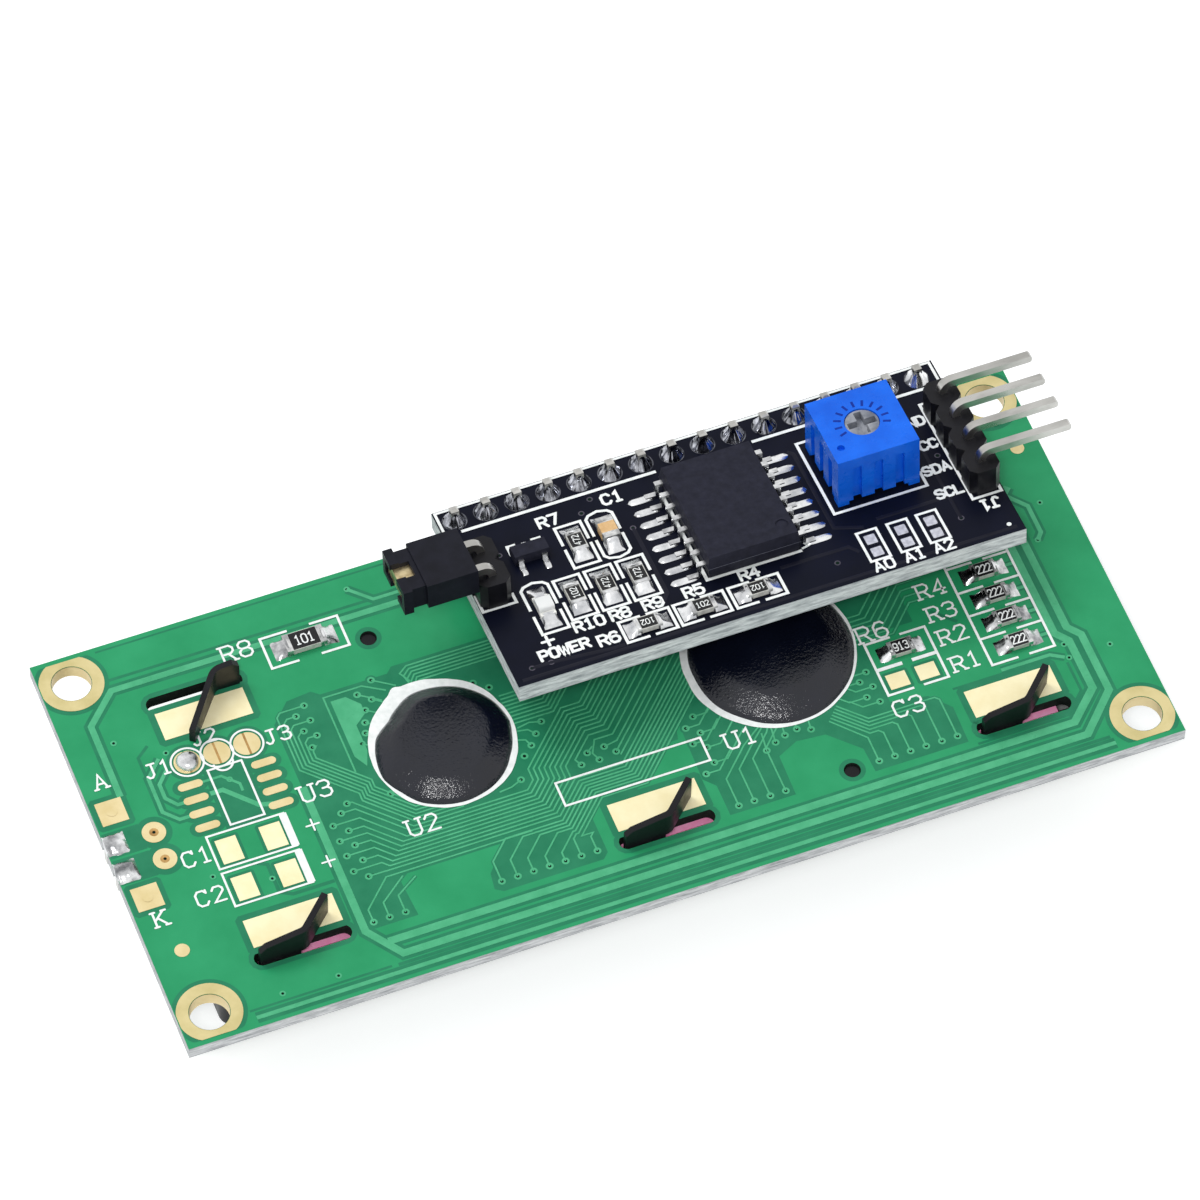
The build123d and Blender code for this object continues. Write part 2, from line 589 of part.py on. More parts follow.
def bus_places():
    return [(BUS_PIN_X, v) for v in row(BUS_PIN_COUNT, PITCH, BUS_CENTRE_V)]


def jumper_places():
    return [(JUMPER_PIN_X, v) for v in row(JUMPER_PIN_COUNT, PITCH, JUMPER_CENTRE_V)]


def trimmer_places():
    return [(TRIMMER_X + u, TRIMMER_V + v) for u, v in TRIMMER_PINS]


def adapter_board():
    """Adapter board with the holes of its header row, side headers and trimmer."""
    y = ADAPTER_ROW_INSET - ADAPTER_WIDTH / 2
    board = plate(ADAPTER_LENGTH, ADAPTER_WIDTH, -ADAPTER_THICKNESS, 0, ADAPTER_CENTRE_X, y)
    drill = Cylinder(PIN_HOLE_DIAMETER / 2, 2 * ADAPTER_THICKNESS)
    places = [(x, 0) for x in header_xs()] + bus_places() + jumper_places() + trimmer_places()
    board -= [Pos(u, v, -ADAPTER_THICKNESS / 2) * drill for u, v in places]
    return ON_ADAPTER * board


def side_header(places, side, rise, reach):
    """Housing and bent pins of a header that lies across the adapter board."""
    x = places[0][0]
    centre = sum(v for _, v in places) / len(places)
    strip = ON_ADAPTER * Pos(x, centre, 0) * Rot(0, 0, 90) * housing(len(places))
    pin = bent_pin(-ADAPTER_THICKNESS - UNDERSIDE_STUB, rise, reach)
    turn = Rot(0, 0, 0) if side > 0 else Rot(0, 0, 180)
    pins = [ON_ADAPTER * Pos(u, v, 0) * turn * pin for u, v in places]
    return strip, Compound(children=pins)


def underside_solder():
    """Joints of the side headers and the trimmer under the adapter board."""
    reach = 2 * UNDERSIDE_SOLDER_HEIGHT
    square = plate(PIN, PIN, -reach, reach)
    round_core = Cylinder(TRIMMER_PIN_DIAMETER / 2, 2 * reach)
    joints = []
    for places, core in ((bus_places() + jumper_places(), square), (trimmer_places(), round_core)):
        joint = Rot(180, 0, 0) * solder_cone(UNDERSIDE_SOLDER_HEIGHT, core)
        joints += [ON_ADAPTER * Pos(u, v, -ADAPTER_THICKNESS) * joint for u, v in places]
    return Compound(children=joints)


def jumper_frame():
    """Frame at the inner end of the cap: X outwards along the pins, Z along the normal."""
    inner = JUMPER_PIN_X - JUMPER_REACH - cap_overhang() + CAP_LENGTH
    return ON_ADAPTER * Pos(inner, JUMPER_CENTRE_V, JUMPER_AXIS_HEIGHT) * Rot(0, 0, 180)


def cap_overhang():
    """Length of the cap beyond the pins' tips."""
    return CAP_FLANGE * 0.6


def jumper_cap():
    """Moulded cap with a waist and a notched end, open inside for the clip and the pins."""
    outline = Rectangle(CAP_WIDTH, CAP_THICKNESS)
    waist = Rectangle(CAP_WIDTH - 2 * CAP_NECK_INSET, CAP_THICKNESS - CAP_NECK_INSET)
    body = extrude(Plane.YZ * outline, CAP_NECK_START)
    body += Pos(CAP_NECK_START, 0, 0) * extrude(Plane.YZ * waist, CAP_LENGTH - CAP_NECK_START)
    flange = Pos(CAP_LENGTH - CAP_FLANGE, 0, 0) * extrude(Plane.YZ * outline, CAP_FLANGE)
    body += flange
    notch_depth = CAP_LENGTH - CAP_NECK_START
    body -= Pos(CAP_LENGTH, 0, 0) * Box(2 * notch_depth * 0.8, CAP_NOTCH_WIDTH, CAP_THICKNESS * 2)
    body -= Pos(CAP_LENGTH / 2, 0, 0) * Box(CAP_LENGTH, CLIP_WIDTH, CAP_GAP)
    return jumper_frame() * body


def jumper_clip():
    """Folded brass channel: two leaves, above and below the pins, joined at the outer end."""
    length = CAP_LENGTH - CLIP_SHEET
    leaf = Pos(length / 2, 0, (CAP_GAP - CLIP_SHEET) / 2) * Box(length, CLIP_WIDTH, CLIP_SHEET)
    lower = Pos(length / 2, 0, -(CAP_GAP - CLIP_SHEET) / 2) * Box(length, CLIP_WIDTH, CLIP_SHEET)
    end = Pos(length - CLIP_SHEET / 2, 0, 0) * Box(CLIP_SHEET, CLIP_WIDTH, CAP_GAP)
    rib_height = CAP_GAP / 2 - CLIP_SHEET - PIN / 2 - PIN_CLEARANCE
    clip = leaf + lower + end
    for v in row(JUMPER_PIN_COUNT, PITCH):
        for side in (-1, 1):
            centre = side * (CAP_GAP / 2 - CLIP_SHEET - rib_height / 2)
            clip += Pos(CAP_NECK_START / 2, v, centre) * Box(PIN, PIN, rib_height)
    return jumper_frame() * clip


def gull_lead(span, inner, height, thickness, foot, width):
    """Lead from the package side at mid height, down and out to a flat foot, along +X."""
    knee = span - foot
    mid = height / 2
    outline = Polyline(
        (inner, mid), (knee - thickness, mid), (knee - thickness, thickness), (knee, 0), (span, 0),
        (span, thickness), (knee, thickness), (knee, mid + thickness), (inner, mid + thickness),
        close=True)
    return extrude(Plane.XZ * make_face(outline), width / 2, both=True)


def moulded_package(length, width, height, standoff):
    """Moulded block that narrows from its parting line to its top and its base."""
    middle = standoff + (height - standoff) / 2
    half = (height - standoff) / 2
    outline = Rectangle(width, length)
    top = Pos(0, 0, middle) * extrude(outline, half, taper=MOULD_DRAFT_DEG)
    base = Pos(0, 0, middle) * Rot(180, 0, 0) * extrude(outline, half, taper=MOULD_DRAFT_DEG)
    return top + base


def expander_chip():
    """Package with its orientation dimple, and sixteen leads that seat in its sides."""
    body = moulded_package(CHIP_LENGTH, CHIP_WIDTH, CHIP_HEIGHT, CHIP_STANDOFF)
    lead = gull_lead(CHIP_SPAN / 2, CHIP_WIDTH / 2 - CHIP_LEAD_EMBED, CHIP_HEIGHT,
                     CHIP_LEAD_THICKNESS, CHIP_LEAD_FOOT, CHIP_LEAD_WIDTH)
    leads = [Pos(0, v, 0) * Rot(0, 0, turn) * lead
             for turn in (0, 180) for v in row(CHIP_LEADS_PER_SIDE, CHIP_LEAD_PITCH)]
    body -= leads
    corner = (CHIP_WIDTH / 2 - DIMPLE_DIAMETER, -CHIP_LENGTH / 2 + DIMPLE_DIAMETER * 1.3)
    body -= Pos(*corner, CHIP_HEIGHT) * Cylinder(DIMPLE_DIAMETER / 2, 2 * DIMPLE_DEPTH)
    place = ON_ADAPTER * Pos(CHIP_X, CHIP_V, 0)
    return place * body, Compound(children=[place * one for one in leads])


def transistor():
    """Small package with two leads towards the free edge and one towards the header."""
    body = moulded_package(TRANSISTOR_WIDTH, TRANSISTOR_LENGTH, TRANSISTOR_HEIGHT, CHIP_SEAT)
    inner = TRANSISTOR_WIDTH / 2 - TRANSISTOR_LEAD_THICKNESS
    lead = gull_lead(TRANSISTOR_SPAN / 2, inner, TRANSISTOR_HEIGHT, TRANSISTOR_LEAD_THICKNESS,
                     TRANSISTOR_LEAD_FOOT, TRANSISTOR_LEAD_WIDTH)
    leads = [Rot(0, 0, 90) * lead]
    leads += [Pos(x, 0, 0) * Rot(0, 0, -90) * lead for x in row(2, TRANSISTOR_LEAD_SPREAD)]
    body -= leads
    place = ON_ADAPTER * Pos(TRANSISTOR_X, TRANSISTOR_V, 0)
    return place * body, Compound(children=[place * one for one in leads])


def trimmer_frame():
    return ON_ADAPTER * Pos(TRIMMER_X, TRIMMER_V, 0)


def trimmer_body():
    """Square housing on corner feet, grooved on its sides, open below for the rotor."""
    side, top = TRIMMER_SIDE, TRIMMER_STANDOFF + TRIMMER_HEIGHT
    body = plate(side, side, TRIMMER_STANDOFF, top)
    foot = TRIMMER_FOOT_WIDTH
    reach = (side - foot) / 2
    body += [plate(foot, foot, 0, TRIMMER_STANDOFF, sx * reach, sy * reach)
             for sx in (-1, 1) for sy in (-1, 1)]
    body -= rotor_cavity(top)
    pin = Cylinder(TRIMMER_PIN_DIAMETER / 2, 2 * SUBSTRATE_THICKNESS)
    body -= [Pos(u, v, TRIMMER_STANDOFF) * pin for u, v in TRIMMER_PINS]
    groove = Box(TRIMMER_GROOVE_WIDTH, 2 * TRIMMER_GROOVE_DEPTH, TRIMMER_HEIGHT - TRIMMER_RIM)
    level = TRIMMER_STANDOFF + (TRIMMER_HEIGHT - TRIMMER_RIM) / 2
    for turn in (0, 90, 180, 270):
        body -= [Rot(0, 0, turn) * Pos(x, -side / 2, level) * groove
                 for x in row(3, TRIMMER_GROOVE_PITCH)]
    dimple = Cylinder(TRIMMER_DIMPLE_DIAMETER / 2, 2 * TRIMMER_DIMPLE_DEPTH)
    body -= Pos(TRIMMER_DIMPLE_INSET_X - side / 2, TRIMMER_DIMPLE_INSET_Y - side / 2, top) * dimple
    return trimmer_frame() * body


def rotor_cavity(top):
    """Bore for the rotor's head, and the wider space below it for flange, wiper and plate."""
    head = Cylinder(ROTOR_DIAMETER / 2 + ROTOR_CLEARANCE, 3 * TRIMMER_ROOF)
    wide_radius = ROTOR_FLANGE_DIAMETER / 2 + ROTOR_CLEARANCE
    wide_height = TRIMMER_HEIGHT - TRIMMER_ROOF - SUBSTRATE_THICKNESS
    wide = Pos(0, 0, TRIMMER_STANDOFF + SUBSTRATE_THICKNESS) * Cylinder(
        wide_radius, wide_height, align=(Align.CENTER, Align.CENTER, Align.MIN))
    seat = plate(*substrate_size(), 0, TRIMMER_STANDOFF + SUBSTRATE_THICKNESS)
    return Pos(0, 0, top) * head + wide + seat


def substrate_size():
    side = TRIMMER_SIDE - 2 * TRIMMER_WALL
    return side, side


def trimmer_rotor():
    """Cross-slotted head that shows in the roof, with a flange below it."""
    top = TRIMMER_STANDOFF + TRIMMER_HEIGHT - ROTOR_RECESS
    flange_top = TRIMMER_STANDOFF + TRIMMER_HEIGHT - TRIMMER_ROOF - ROTOR_CLEARANCE
    base = flange_top - ROTOR_FLANGE_HEIGHT
    flange = Pos(0, 0, base) * Cylinder(ROTOR_FLANGE_DIAMETER / 2, ROTOR_FLANGE_HEIGHT,
                                        align=(Align.CENTER, Align.CENTER, Align.MIN))
    head = Pos(0, 0, base) * Cylinder(ROTOR_DIAMETER / 2, top - base,
                                      align=(Align.CENTER, Align.CENTER, Align.MIN))
    rotor = flange + head
    for turn in (0, 90):
        slot = Box(ROTOR_DIAMETER * 0.86, ROTOR_SLOT_WIDTH, 2 * ROTOR_SLOT_DEPTH)
        rotor -= Pos(0, 0, top) * Rot(0, 0, turn) * slot
    return trimmer_frame() * rotor


def trimmer_wiper():
    """Spring contact under the rotor: a ring with a bent finger down to the plate."""
    flange_base = (TRIMMER_STANDOFF + TRIMMER_HEIGHT - TRIMMER_ROOF - ROTOR_CLEARANCE
                   - ROTOR_FLANGE_HEIGHT)
    ring = Circle(WIPER_DIAMETER / 2) - Circle(WIPER_DIAMETER / 4)
    disc = Pos(0, 0, flange_base - WIPER_THICKNESS) * extrude(ring, WIPER_THICKNESS)
    plate_top = TRIMMER_STANDOFF + SUBSTRATE_THICKNESS + ROTOR_CLEARANCE
    radius = WIPER_DIAMETER * 3 / 8
    finger = plate(WIPER_THICKNESS * 2, WIPER_THICKNESS * 3, plate_top,
                   flange_base - WIPER_THICKNESS, y=radius)
    return trimmer_frame() * (disc + finger)


def trimmer_substrate():
    """Ceramic plate with the resistive track, which closes the housing from below."""
    shape = plate(*substrate_size(), TRIMMER_STANDOFF, TRIMMER_STANDOFF + SUBSTRATE_THICKNESS)
    pin = Cylinder(TRIMMER_PIN_DIAMETER / 2, 4 * SUBSTRATE_THICKNESS)
    shape -= [Pos(u, v, TRIMMER_STANDOFF) * pin for u, v in TRIMMER_PINS]
    return trimmer_frame() * shape


def trimmer_pins():
    """Three round pins from the ceramic plate down through the adapter board."""
    low = -ADAPTER_THICKNESS - UNDERSIDE_STUB
    high = TRIMMER_STANDOFF + SUBSTRATE_THICKNESS
    pin = Pos(0, 0, low) * Cylinder(TRIMMER_PIN_DIAMETER / 2, high - low,
                                    align=(Align.CENTER, Align.CENTER, Align.MIN))
    return Compound(children=[trimmer_frame() * Pos(u, v, 0) * pin for u, v in TRIMMER_PINS])


def chip_component(length, width, height):
    """Ceramic chip with metal caps that stand a little proud of it at both ends."""
    cap = length / 2 - TERMINAL_LENGTH
    low, high = CHIP_SEAT, CHIP_SEAT + height
    step = TERMINAL_STEP
    outline = Polyline(
        (-length / 2, low), (-cap, low), (-cap, low + step), (cap, low + step), (cap, low),
        (length / 2, low), (length / 2, high), (cap, high), (cap, high - step),
        (-cap, high - step), (-cap, high), (-length / 2, high), close=True)
    return extrude(Plane.XZ * make_face(outline), width / 2, both=True)


def on_adapter(place, shape):
    """Put a component on the adapter board at its place and turn."""
    u, v, turn = place
    return ON_ADAPTER * Pos(u, v, 0) * Rot(0, 0, turn) * shape


def power_lamp():
    """Chip lamp: a flat base with metal ends, and a clear resin lens on its middle."""
    length, width, height = LAMP_CHIP
    top = CHIP_SEAT + height - TERMINAL_STEP
    lens = plate(LAMP_LENS_LENGTH, width, top, top + LAMP_LENS_HEIGHT)
    lens = fillet(lens.edges().group_by(Axis.Z)[-1].filter_by(Axis.Y), LAMP_LENS_HEIGHT / 2)
    short = LAMP_LENS_LENGTH > length - 2 * TERMINAL_LENGTH
    lens -= chip_component(*LAMP_CHIP) if short else Box(0.01, 0.01, 0.01)
    return on_adapter(LAMP_PLACE, chip_component(*LAMP_CHIP)), on_adapter(LAMP_PLACE, lens)


def dome(radius, height):
    """Low dome on z = 0, steeper towards its edge."""
    turns = [i * pi / 10 for i in range(5)]
    crown = [(radius * cos(a) ** 0.5, height * sin(a)) for a in turns]
    profile = make_face(Polyline((0, 0), *crown, (0, height), close=True))
    return revolve(Plane.XZ * profile, Axis.Z)


def main():
    os.makedirs("parts", exist_ok=True)
    save("lcd_board", lcd_board())
    save("bezel", bezel())
    save("front_polariser", front_polariser())
    save("front_glass", front_glass())
    save("rear_glass", rear_glass())
    save("rear_polariser", rear_polariser())
    save("diffuser_film", diffuser_film())
    save("light_guide", light_guide())
    save("backlight_tray", backlight_tray())
    save("lamp_board", lamp_board_block())
    save("lamp_leads", lamp_leads())
    save("edge_solder", edge_solder())
    save("contact_strip_lower", contact_strip(-1))
    save("contact_strip_upper", contact_strip(1))
    for node, (x, y, radius) in DRIVER_DOMES.items():
        save(node, Pos(x, y, 0) * dome(radius, DOME_HEIGHT))
    for node, (x, y, size) in DISPLAY_RESISTORS.items():
        save(node, Pos(x, y, 0) * chip_component(*size))
    save("link_solder_ball", Pos(*LINK_BALL, 0) * dome(LINK_BALL_DIAMETER / 2, LINK_BALL_HEIGHT))
    strip, pins, upper, lower = header_parts()
    save("header_housing", strip)
    save("header_pins", pins)
    save("header_solder_adapter", upper)
    save("header_solder_display", lower)
    save("adapter_board", adapter_board())
    strip, pins = side_header(bus_places(), 1, BUS_AXIS_HEIGHT, BUS_REACH)
    save("bus_header_housing", strip)
    save("bus_header_pins", pins)
    strip, pins = side_header(jumper_places(), -1, JUMPER_AXIS_HEIGHT, JUMPER_REACH)
    save("jumper_header_housing", strip)
    save("jumper_header_pins", pins)
    save("underside_solder", underside_solder())
    save("jumper_cap", jumper_cap())
    save("jumper_clip", jumper_clip())
    body, leads = expander_chip()
    save("expander_chip_body", body)
    save("expander_chip_leads", leads)
    body, leads = transistor()
    save("transistor_body", body)
    save("transistor_leads", leads)
    save("trimmer_body", trimmer_body())
    save("trimmer_rotor", trimmer_rotor())
    save("trimmer_wiper", trimmer_wiper())
    save("trimmer_substrate", trimmer_substrate())
    save("trimmer_pins", trimmer_pins())
    for node, place in ADAPTER_RESISTORS.items():
        save(node, on_adapter(place, chip_component(*SMALL_CHIP)))
    save("adapter_capacitor_c1", on_adapter(CAPACITOR_PLACE, chip_component(*CAPACITOR_CHIP)))
    base, lens = power_lamp()
    save("power_lamp_base", base)
    save("power_lamp_lens", lens)


main()
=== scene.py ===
"""Looks of the character display module: boards, legends, solder, resin and the white studio."""
import math

import bpy
from mathutils import Matrix, Vector, noise


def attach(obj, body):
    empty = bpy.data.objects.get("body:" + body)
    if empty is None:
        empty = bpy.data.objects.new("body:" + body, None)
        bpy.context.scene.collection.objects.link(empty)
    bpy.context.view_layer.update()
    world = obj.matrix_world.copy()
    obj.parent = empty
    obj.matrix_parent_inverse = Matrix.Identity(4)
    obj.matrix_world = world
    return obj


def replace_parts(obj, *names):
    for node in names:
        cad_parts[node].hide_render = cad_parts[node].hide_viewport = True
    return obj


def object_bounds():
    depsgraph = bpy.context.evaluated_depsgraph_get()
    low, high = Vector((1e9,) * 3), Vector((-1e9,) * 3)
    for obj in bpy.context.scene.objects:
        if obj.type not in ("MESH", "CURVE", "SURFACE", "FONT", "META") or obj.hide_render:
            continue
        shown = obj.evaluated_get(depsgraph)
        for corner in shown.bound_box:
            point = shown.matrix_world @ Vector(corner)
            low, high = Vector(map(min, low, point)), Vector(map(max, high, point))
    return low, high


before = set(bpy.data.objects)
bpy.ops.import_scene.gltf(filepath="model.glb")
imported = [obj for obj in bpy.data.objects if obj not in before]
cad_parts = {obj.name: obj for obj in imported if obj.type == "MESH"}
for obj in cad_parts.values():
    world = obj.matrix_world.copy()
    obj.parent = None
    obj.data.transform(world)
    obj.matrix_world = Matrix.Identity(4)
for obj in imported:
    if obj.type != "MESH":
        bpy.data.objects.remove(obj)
cad_low, cad_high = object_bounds()

# Sizes and places of the solids, in millimetres
MM = 0.001
BOARD_HALF = (40.0, 18.0)
BOARD_THICKNESS = 1.2
FRONT_Z = -BOARD_THICKNESS
CORNERS = [(x, y) for x in (-37.5, 37.5) for y in (-15.5, 15.5)]
TAB_XS = (-29.05, 0.0, 29.05)
SLOT_YS = (-12.475, 11.525)
TERMINAL_X, TERMINAL_YS = -36.1, (0.75, -1.75)
LINK_XS, LINK_Y = (-31.67, -29.3, -26.9), 5.76
DOME_U1, DOME_U2 = (13.0, -0.25), (-13.0, 0.75)
PITCH = 2.54
ROW_Y = 16.0
HEADER_XS = [12.95 + (i - 7.5) * PITCH for i in range(16)]
HOUSING_HALF_WIDTH, HOUSING_CLEARANCE, HOUSING_HEIGHT = 1.25, 0.01, 2.54
TILT = math.radians(7.67)
ADAPTER_THICKNESS = 1.6
ADAPTER_TOP = HOUSING_HALF_WIDTH * math.tan(TILT) + HOUSING_CLEARANCE + HOUSING_HEIGHT + ADAPTER_THICKNESS
UP_ADAPTER = Vector((0, math.sin(TILT), math.cos(TILT)))
ROW_TO_ROW = Vector((0, math.cos(TILT), -math.sin(TILT)))

# Places of the parts on the adapter board, from its header row
CHIP, CHIP_HALF, CHIP_SEAM = (13.3, -7.95), (3.765, 5.165), (1.19, 1.25)
TRIMMER, TRIMMER_TOP = (24.75, -6.65), 4.9
CAPACITOR = (4.2, -5.8)
POWER_LAMP = (-2.92, -10.85)
BUS_HEADER, JUMPER_HEADER = (32.4, -7.93), (-6.07, -6.87)


# Places on the faces of the two boards
def on_display(x, y, h=0.0):
    return Vector((x, y, h)) * MM


def on_front(x, y, h=0.0):
    return Vector((x, y, FRONT_Z - h)) * MM


def on_adapter(u, v, h=0.0):
    h = h + ADAPTER_TOP
    return Vector((u, ROW_Y + v * math.cos(TILT) + h * math.sin(TILT),
                   -v * math.sin(TILT) + h * math.cos(TILT))) * MM


def under_adapter(u, v, h=0.0):
    return on_adapter(u, v, -ADAPTER_THICKNESS - h)


FLIPPED = (on_front, under_adapter)


def turned(x, y, along, across, degrees):
    """Point at two distances from x, y: along an axis turned by some degrees, and across it."""
    c, s = math.cos(math.radians(degrees)), math.sin(math.radians(degrees))
    return x + along * c - across * s, y + along * s + across * c


# Materials
def linear(rgb):
    return [((c / 255 + 0.055) / 1.055) ** 2.4 if c > 10 else c / 255 / 12.92 for c in rgb] + [1.0]


class Nodes:
    """Short names for the nodes of one material."""

    def __init__(self, name):
        self.mat = bpy.data.materials.new(name)
        self.mat.use_nodes = True
        self.tree = self.mat.node_tree
        self.bsdf = self.tree.nodes["Principled BSDF"]
        self.coord = self.tree.nodes.new("ShaderNodeTexCoord")

    def new(self, kind, **values):
        node = self.tree.nodes.new(kind)
        for key, value in values.items():
            setattr(node, key, value)
        return node

    def link(self, a, b):
        self.tree.links.new(a, b)

    def feed(self, socket, value):
        """Sets a socket to a plain value, or links it to the output given."""
        if isinstance(value, bpy.types.NodeSocket):
            self.link(value, socket)
        else:
            socket.default_value = value

    def noise(self, scale, detail=3.0, rough=0.55, stretch=None):
        node = self.new("ShaderNodeTexNoise")
        node.inputs["Scale"].default_value = scale
        node.inputs["Detail"].default_value = detail
        node.inputs["Roughness"].default_value = rough
        source = self.coord.outputs["Object"]
        if stretch:
            mapping = self.new("ShaderNodeMapping")
            mapping.inputs["Scale"].default_value = stretch
            self.link(source, mapping.inputs["Vector"])
            source = mapping.outputs["Vector"]
        self.link(source, node.inputs["Vector"])
        return node.outputs["Fac"]

    def ramp(self, fac, stops):
        node = self.new("ShaderNodeValToRGB")
        for element, (at, rgb) in zip(node.color_ramp.elements, stops):
            element.position = at
            element.color = linear(rgb)
        self.link(fac, node.inputs["Fac"])
        return node.outputs["Color"]

    def spread(self, fac, low, high, a=0.3, b=0.7):
        node = self.new("ShaderNodeMapRange")
        for key, value in (("From Min", a), ("From Max", b), ("To Min", low), ("To Max", high)):
            node.inputs[key].default_value = value
        self.link(fac, node.inputs["Value"])
        return node.outputs["Result"]

    def math(self, operation, a, b=None):
        node = self.new("ShaderNodeMath", operation=operation)
        for i, value in enumerate((a, b)):
            if value is not None:
                self.feed(node.inputs[i], value)
        return node.outputs[0]

    def dot(self, vector, axis, origin=(0, 0, 0)):
        shift = self.new("ShaderNodeVectorMath", operation="SUBTRACT")
        self.link(vector, shift.inputs[0])
        shift.inputs[1].default_value = origin
        node = self.new("ShaderNodeVectorMath", operation="DOT_PRODUCT")
        self.link(shift.outputs[0], node.inputs[0])
        node.inputs[1].default_value = axis
        return node.outputs["Value"]

    def mix(self, fac, a, b):
        node = self.new("ShaderNodeMix", data_type="RGBA")
        self.link(fac, node.inputs["Factor"])
        for key, value in (("A", a), ("B", b)):
            self.feed([s for s in node.inputs if s.name == key and s.type == "RGBA"][0], value)
        return [s for s in node.outputs if s.type == "RGBA"][0]

    def bump(self, height, strength, distance):
        node = self.new("ShaderNodeBump")
        node.inputs["Strength"].default_value = strength
        node.inputs["Distance"].default_value = distance * MM
        self.link(height, node.inputs["Height"])
        return node.outputs["Normal"]

    def put(self, key, value):
        self.feed(self.bsdf.inputs[key], value)


def plastic(name, dark, light, scale, rough, bump, spec, coat=0.0):
    n = Nodes(name)
    fac = n.noise(scale, 4)
    n.put("Base Color", n.ramp(fac, [(0.3, dark), (0.7, light)]))
    n.put("Roughness", n.spread(n.noise(scale * 1.7, 3), *rough))
    n.put("Specular IOR Level", spec)
    n.put("Normal", n.bump(n.noise(bump[0], 3), bump[1], bump[2]))
    if coat:
        n.put("Coat Weight", coat)
        n.put("Coat Roughness", 0.15)
    return n.mat


def metal(name, dark, light, scale, rough, bump, stretch=None, metallic=1.0):
    n = Nodes(name)
    fac = n.noise(scale, 4, stretch=stretch)
    n.put("Base Color", n.ramp(fac, [(0.34, dark), (0.62, light)]))
    n.put("Metallic", metallic)
    n.put("Roughness", n.spread(n.noise(scale * 0.8, 2), *rough))
    n.put("Normal", n.bump(n.noise(bump[0], 3), bump[1], bump[2]))
    return n.mat


def board(name, axis, dark, light, mask_rough, mask_spec, edge_dark, edge_light, thickness, base, half=None):
    """Solder mask on the two faces and bare laminate round the edges; the walls of slots and holes inside are
    painted dark, as painted shade.
    """
    n = Nodes(name)
    face = n.math("GREATER_THAN", n.math("ABSOLUTE", n.dot(n.coord.outputs["Normal"], axis)), 0.7)
    mask = n.ramp(n.noise(260, 5), [(0.3, dark), (0.7, light)])
    depth = n.dot(n.coord.outputs["Object"], [c / thickness / MM for c in axis], base)
    fibre = n.noise(1500, 6, 0.7, stretch=(0.35, 0.6, 2.6))
    rim = n.ramp(fibre, [(0.32, edge_dark), (0.62, edge_light)])
    band = n.math("PINGPONG", depth, 0.5)
    rim = n.mix(n.spread(band, 0.5, 0.0, 0.0, 0.12), rim, linear(edge_dark))
    if half:
        across = n.math("ABSOLUTE", n.dot(n.coord.outputs["Object"], (1 / half[0] / MM, 0, 0)))
        up = n.math("ABSOLUTE", n.dot(n.coord.outputs["Object"], (0, 1 / half[1] / MM, 0)))
        outer = n.math("GREATER_THAN", n.math("MAXIMUM", across, up), 0.985)
        # Walls of the slots and holes, away from the outer edges: near-black painted shade
        painted_hole_shade = n.ramp(n.noise(2400, 4), [(0.3, (12, 22, 18)), (0.7, (30, 42, 36))])
        rim = n.mix(outer, painted_hole_shade, rim)
    n.put("Base Color", n.mix(face, rim, mask))
    n.put("Roughness", n.math("SUBTRACT", 0.85, n.math("MULTIPLY", face, 0.85 - mask_rough)))
    n.put("Specular IOR Level", mask_spec)
    peel = n.bump(n.noise(700, 2), 0.08, 0.05)
    rough = n.bump(fibre, 0.6, 0.12)
    pick = n.new("ShaderNodeMix", data_type="VECTOR")
    n.link(face, pick.inputs["Factor"])
    vectors = [s for s in pick.inputs if s.type == "VECTOR"]
    n.link(rough, vectors[0])
    n.link(peel, vectors[1])
    n.put("Normal", [s for s in pick.outputs if s.type == "VECTOR"][0])
    return n.mat


def chip_ends(name, centre, axis, up, half, middle_dark, middle_light, glazed=0.0):
    """Body with tinned ends, told apart by the distance from the chip's centre; a glazed field on top."""
    n = Nodes(name)
    along = n.math("ABSOLUTE", n.dot(n.coord.outputs["Object"], axis, centre))
    end = n.math("GREATER_THAN", along, half * MM)
    glaze = n.ramp(n.noise(3000, 3), [(0.3, middle_dark), (0.7, middle_light)])
    if glazed:
        side = Vector(axis).cross(Vector(up))
        across = n.math("ABSOLUTE", n.dot(n.coord.outputs["Object"], tuple(side), centre))
        inside = n.math("LESS_THAN", across, glazed * MM)
        top = n.math("GREATER_THAN", n.dot(n.coord.outputs["Normal"], up), 0.8)
        alumina = n.ramp(n.noise(2200, 3), [(0.3, (176, 176, 170)), (0.7, (212, 212, 206))])
        glaze = n.mix(n.math("MULTIPLY", inside, top), alumina, glaze)
    tin = n.ramp(n.noise(1400, 3), [(0.36, (168, 169, 170)), (0.62, (226, 227, 226))])
    n.put("Base Color", n.mix(end, glaze, tin))
    n.put("Metallic", end)
    n.put("Roughness", n.spread(n.noise(2000, 2), 0.25, 0.42))
    n.put("Specular IOR Level", 0.35)
    n.put("Normal", n.bump(n.noise(3500, 3), 0.25, 0.03))
    return n.mat


def clear(name, tint, rough, transmission):
    n = Nodes(name)
    n.put("Base Color", n.ramp(n.noise(400, 2), [(0.3, tint), (0.7, [min(255, c + 6) for c in tint])]))
    n.put("Roughness", n.spread(n.noise(900, 2), rough, rough + 0.05))
    n.put("Transmission Weight", transmission)
    n.put("Specular IOR Level", 0.5)
    n.put("Normal", n.bump(n.noise(1200, 2), 0.03, 0.02))
    return n.mat


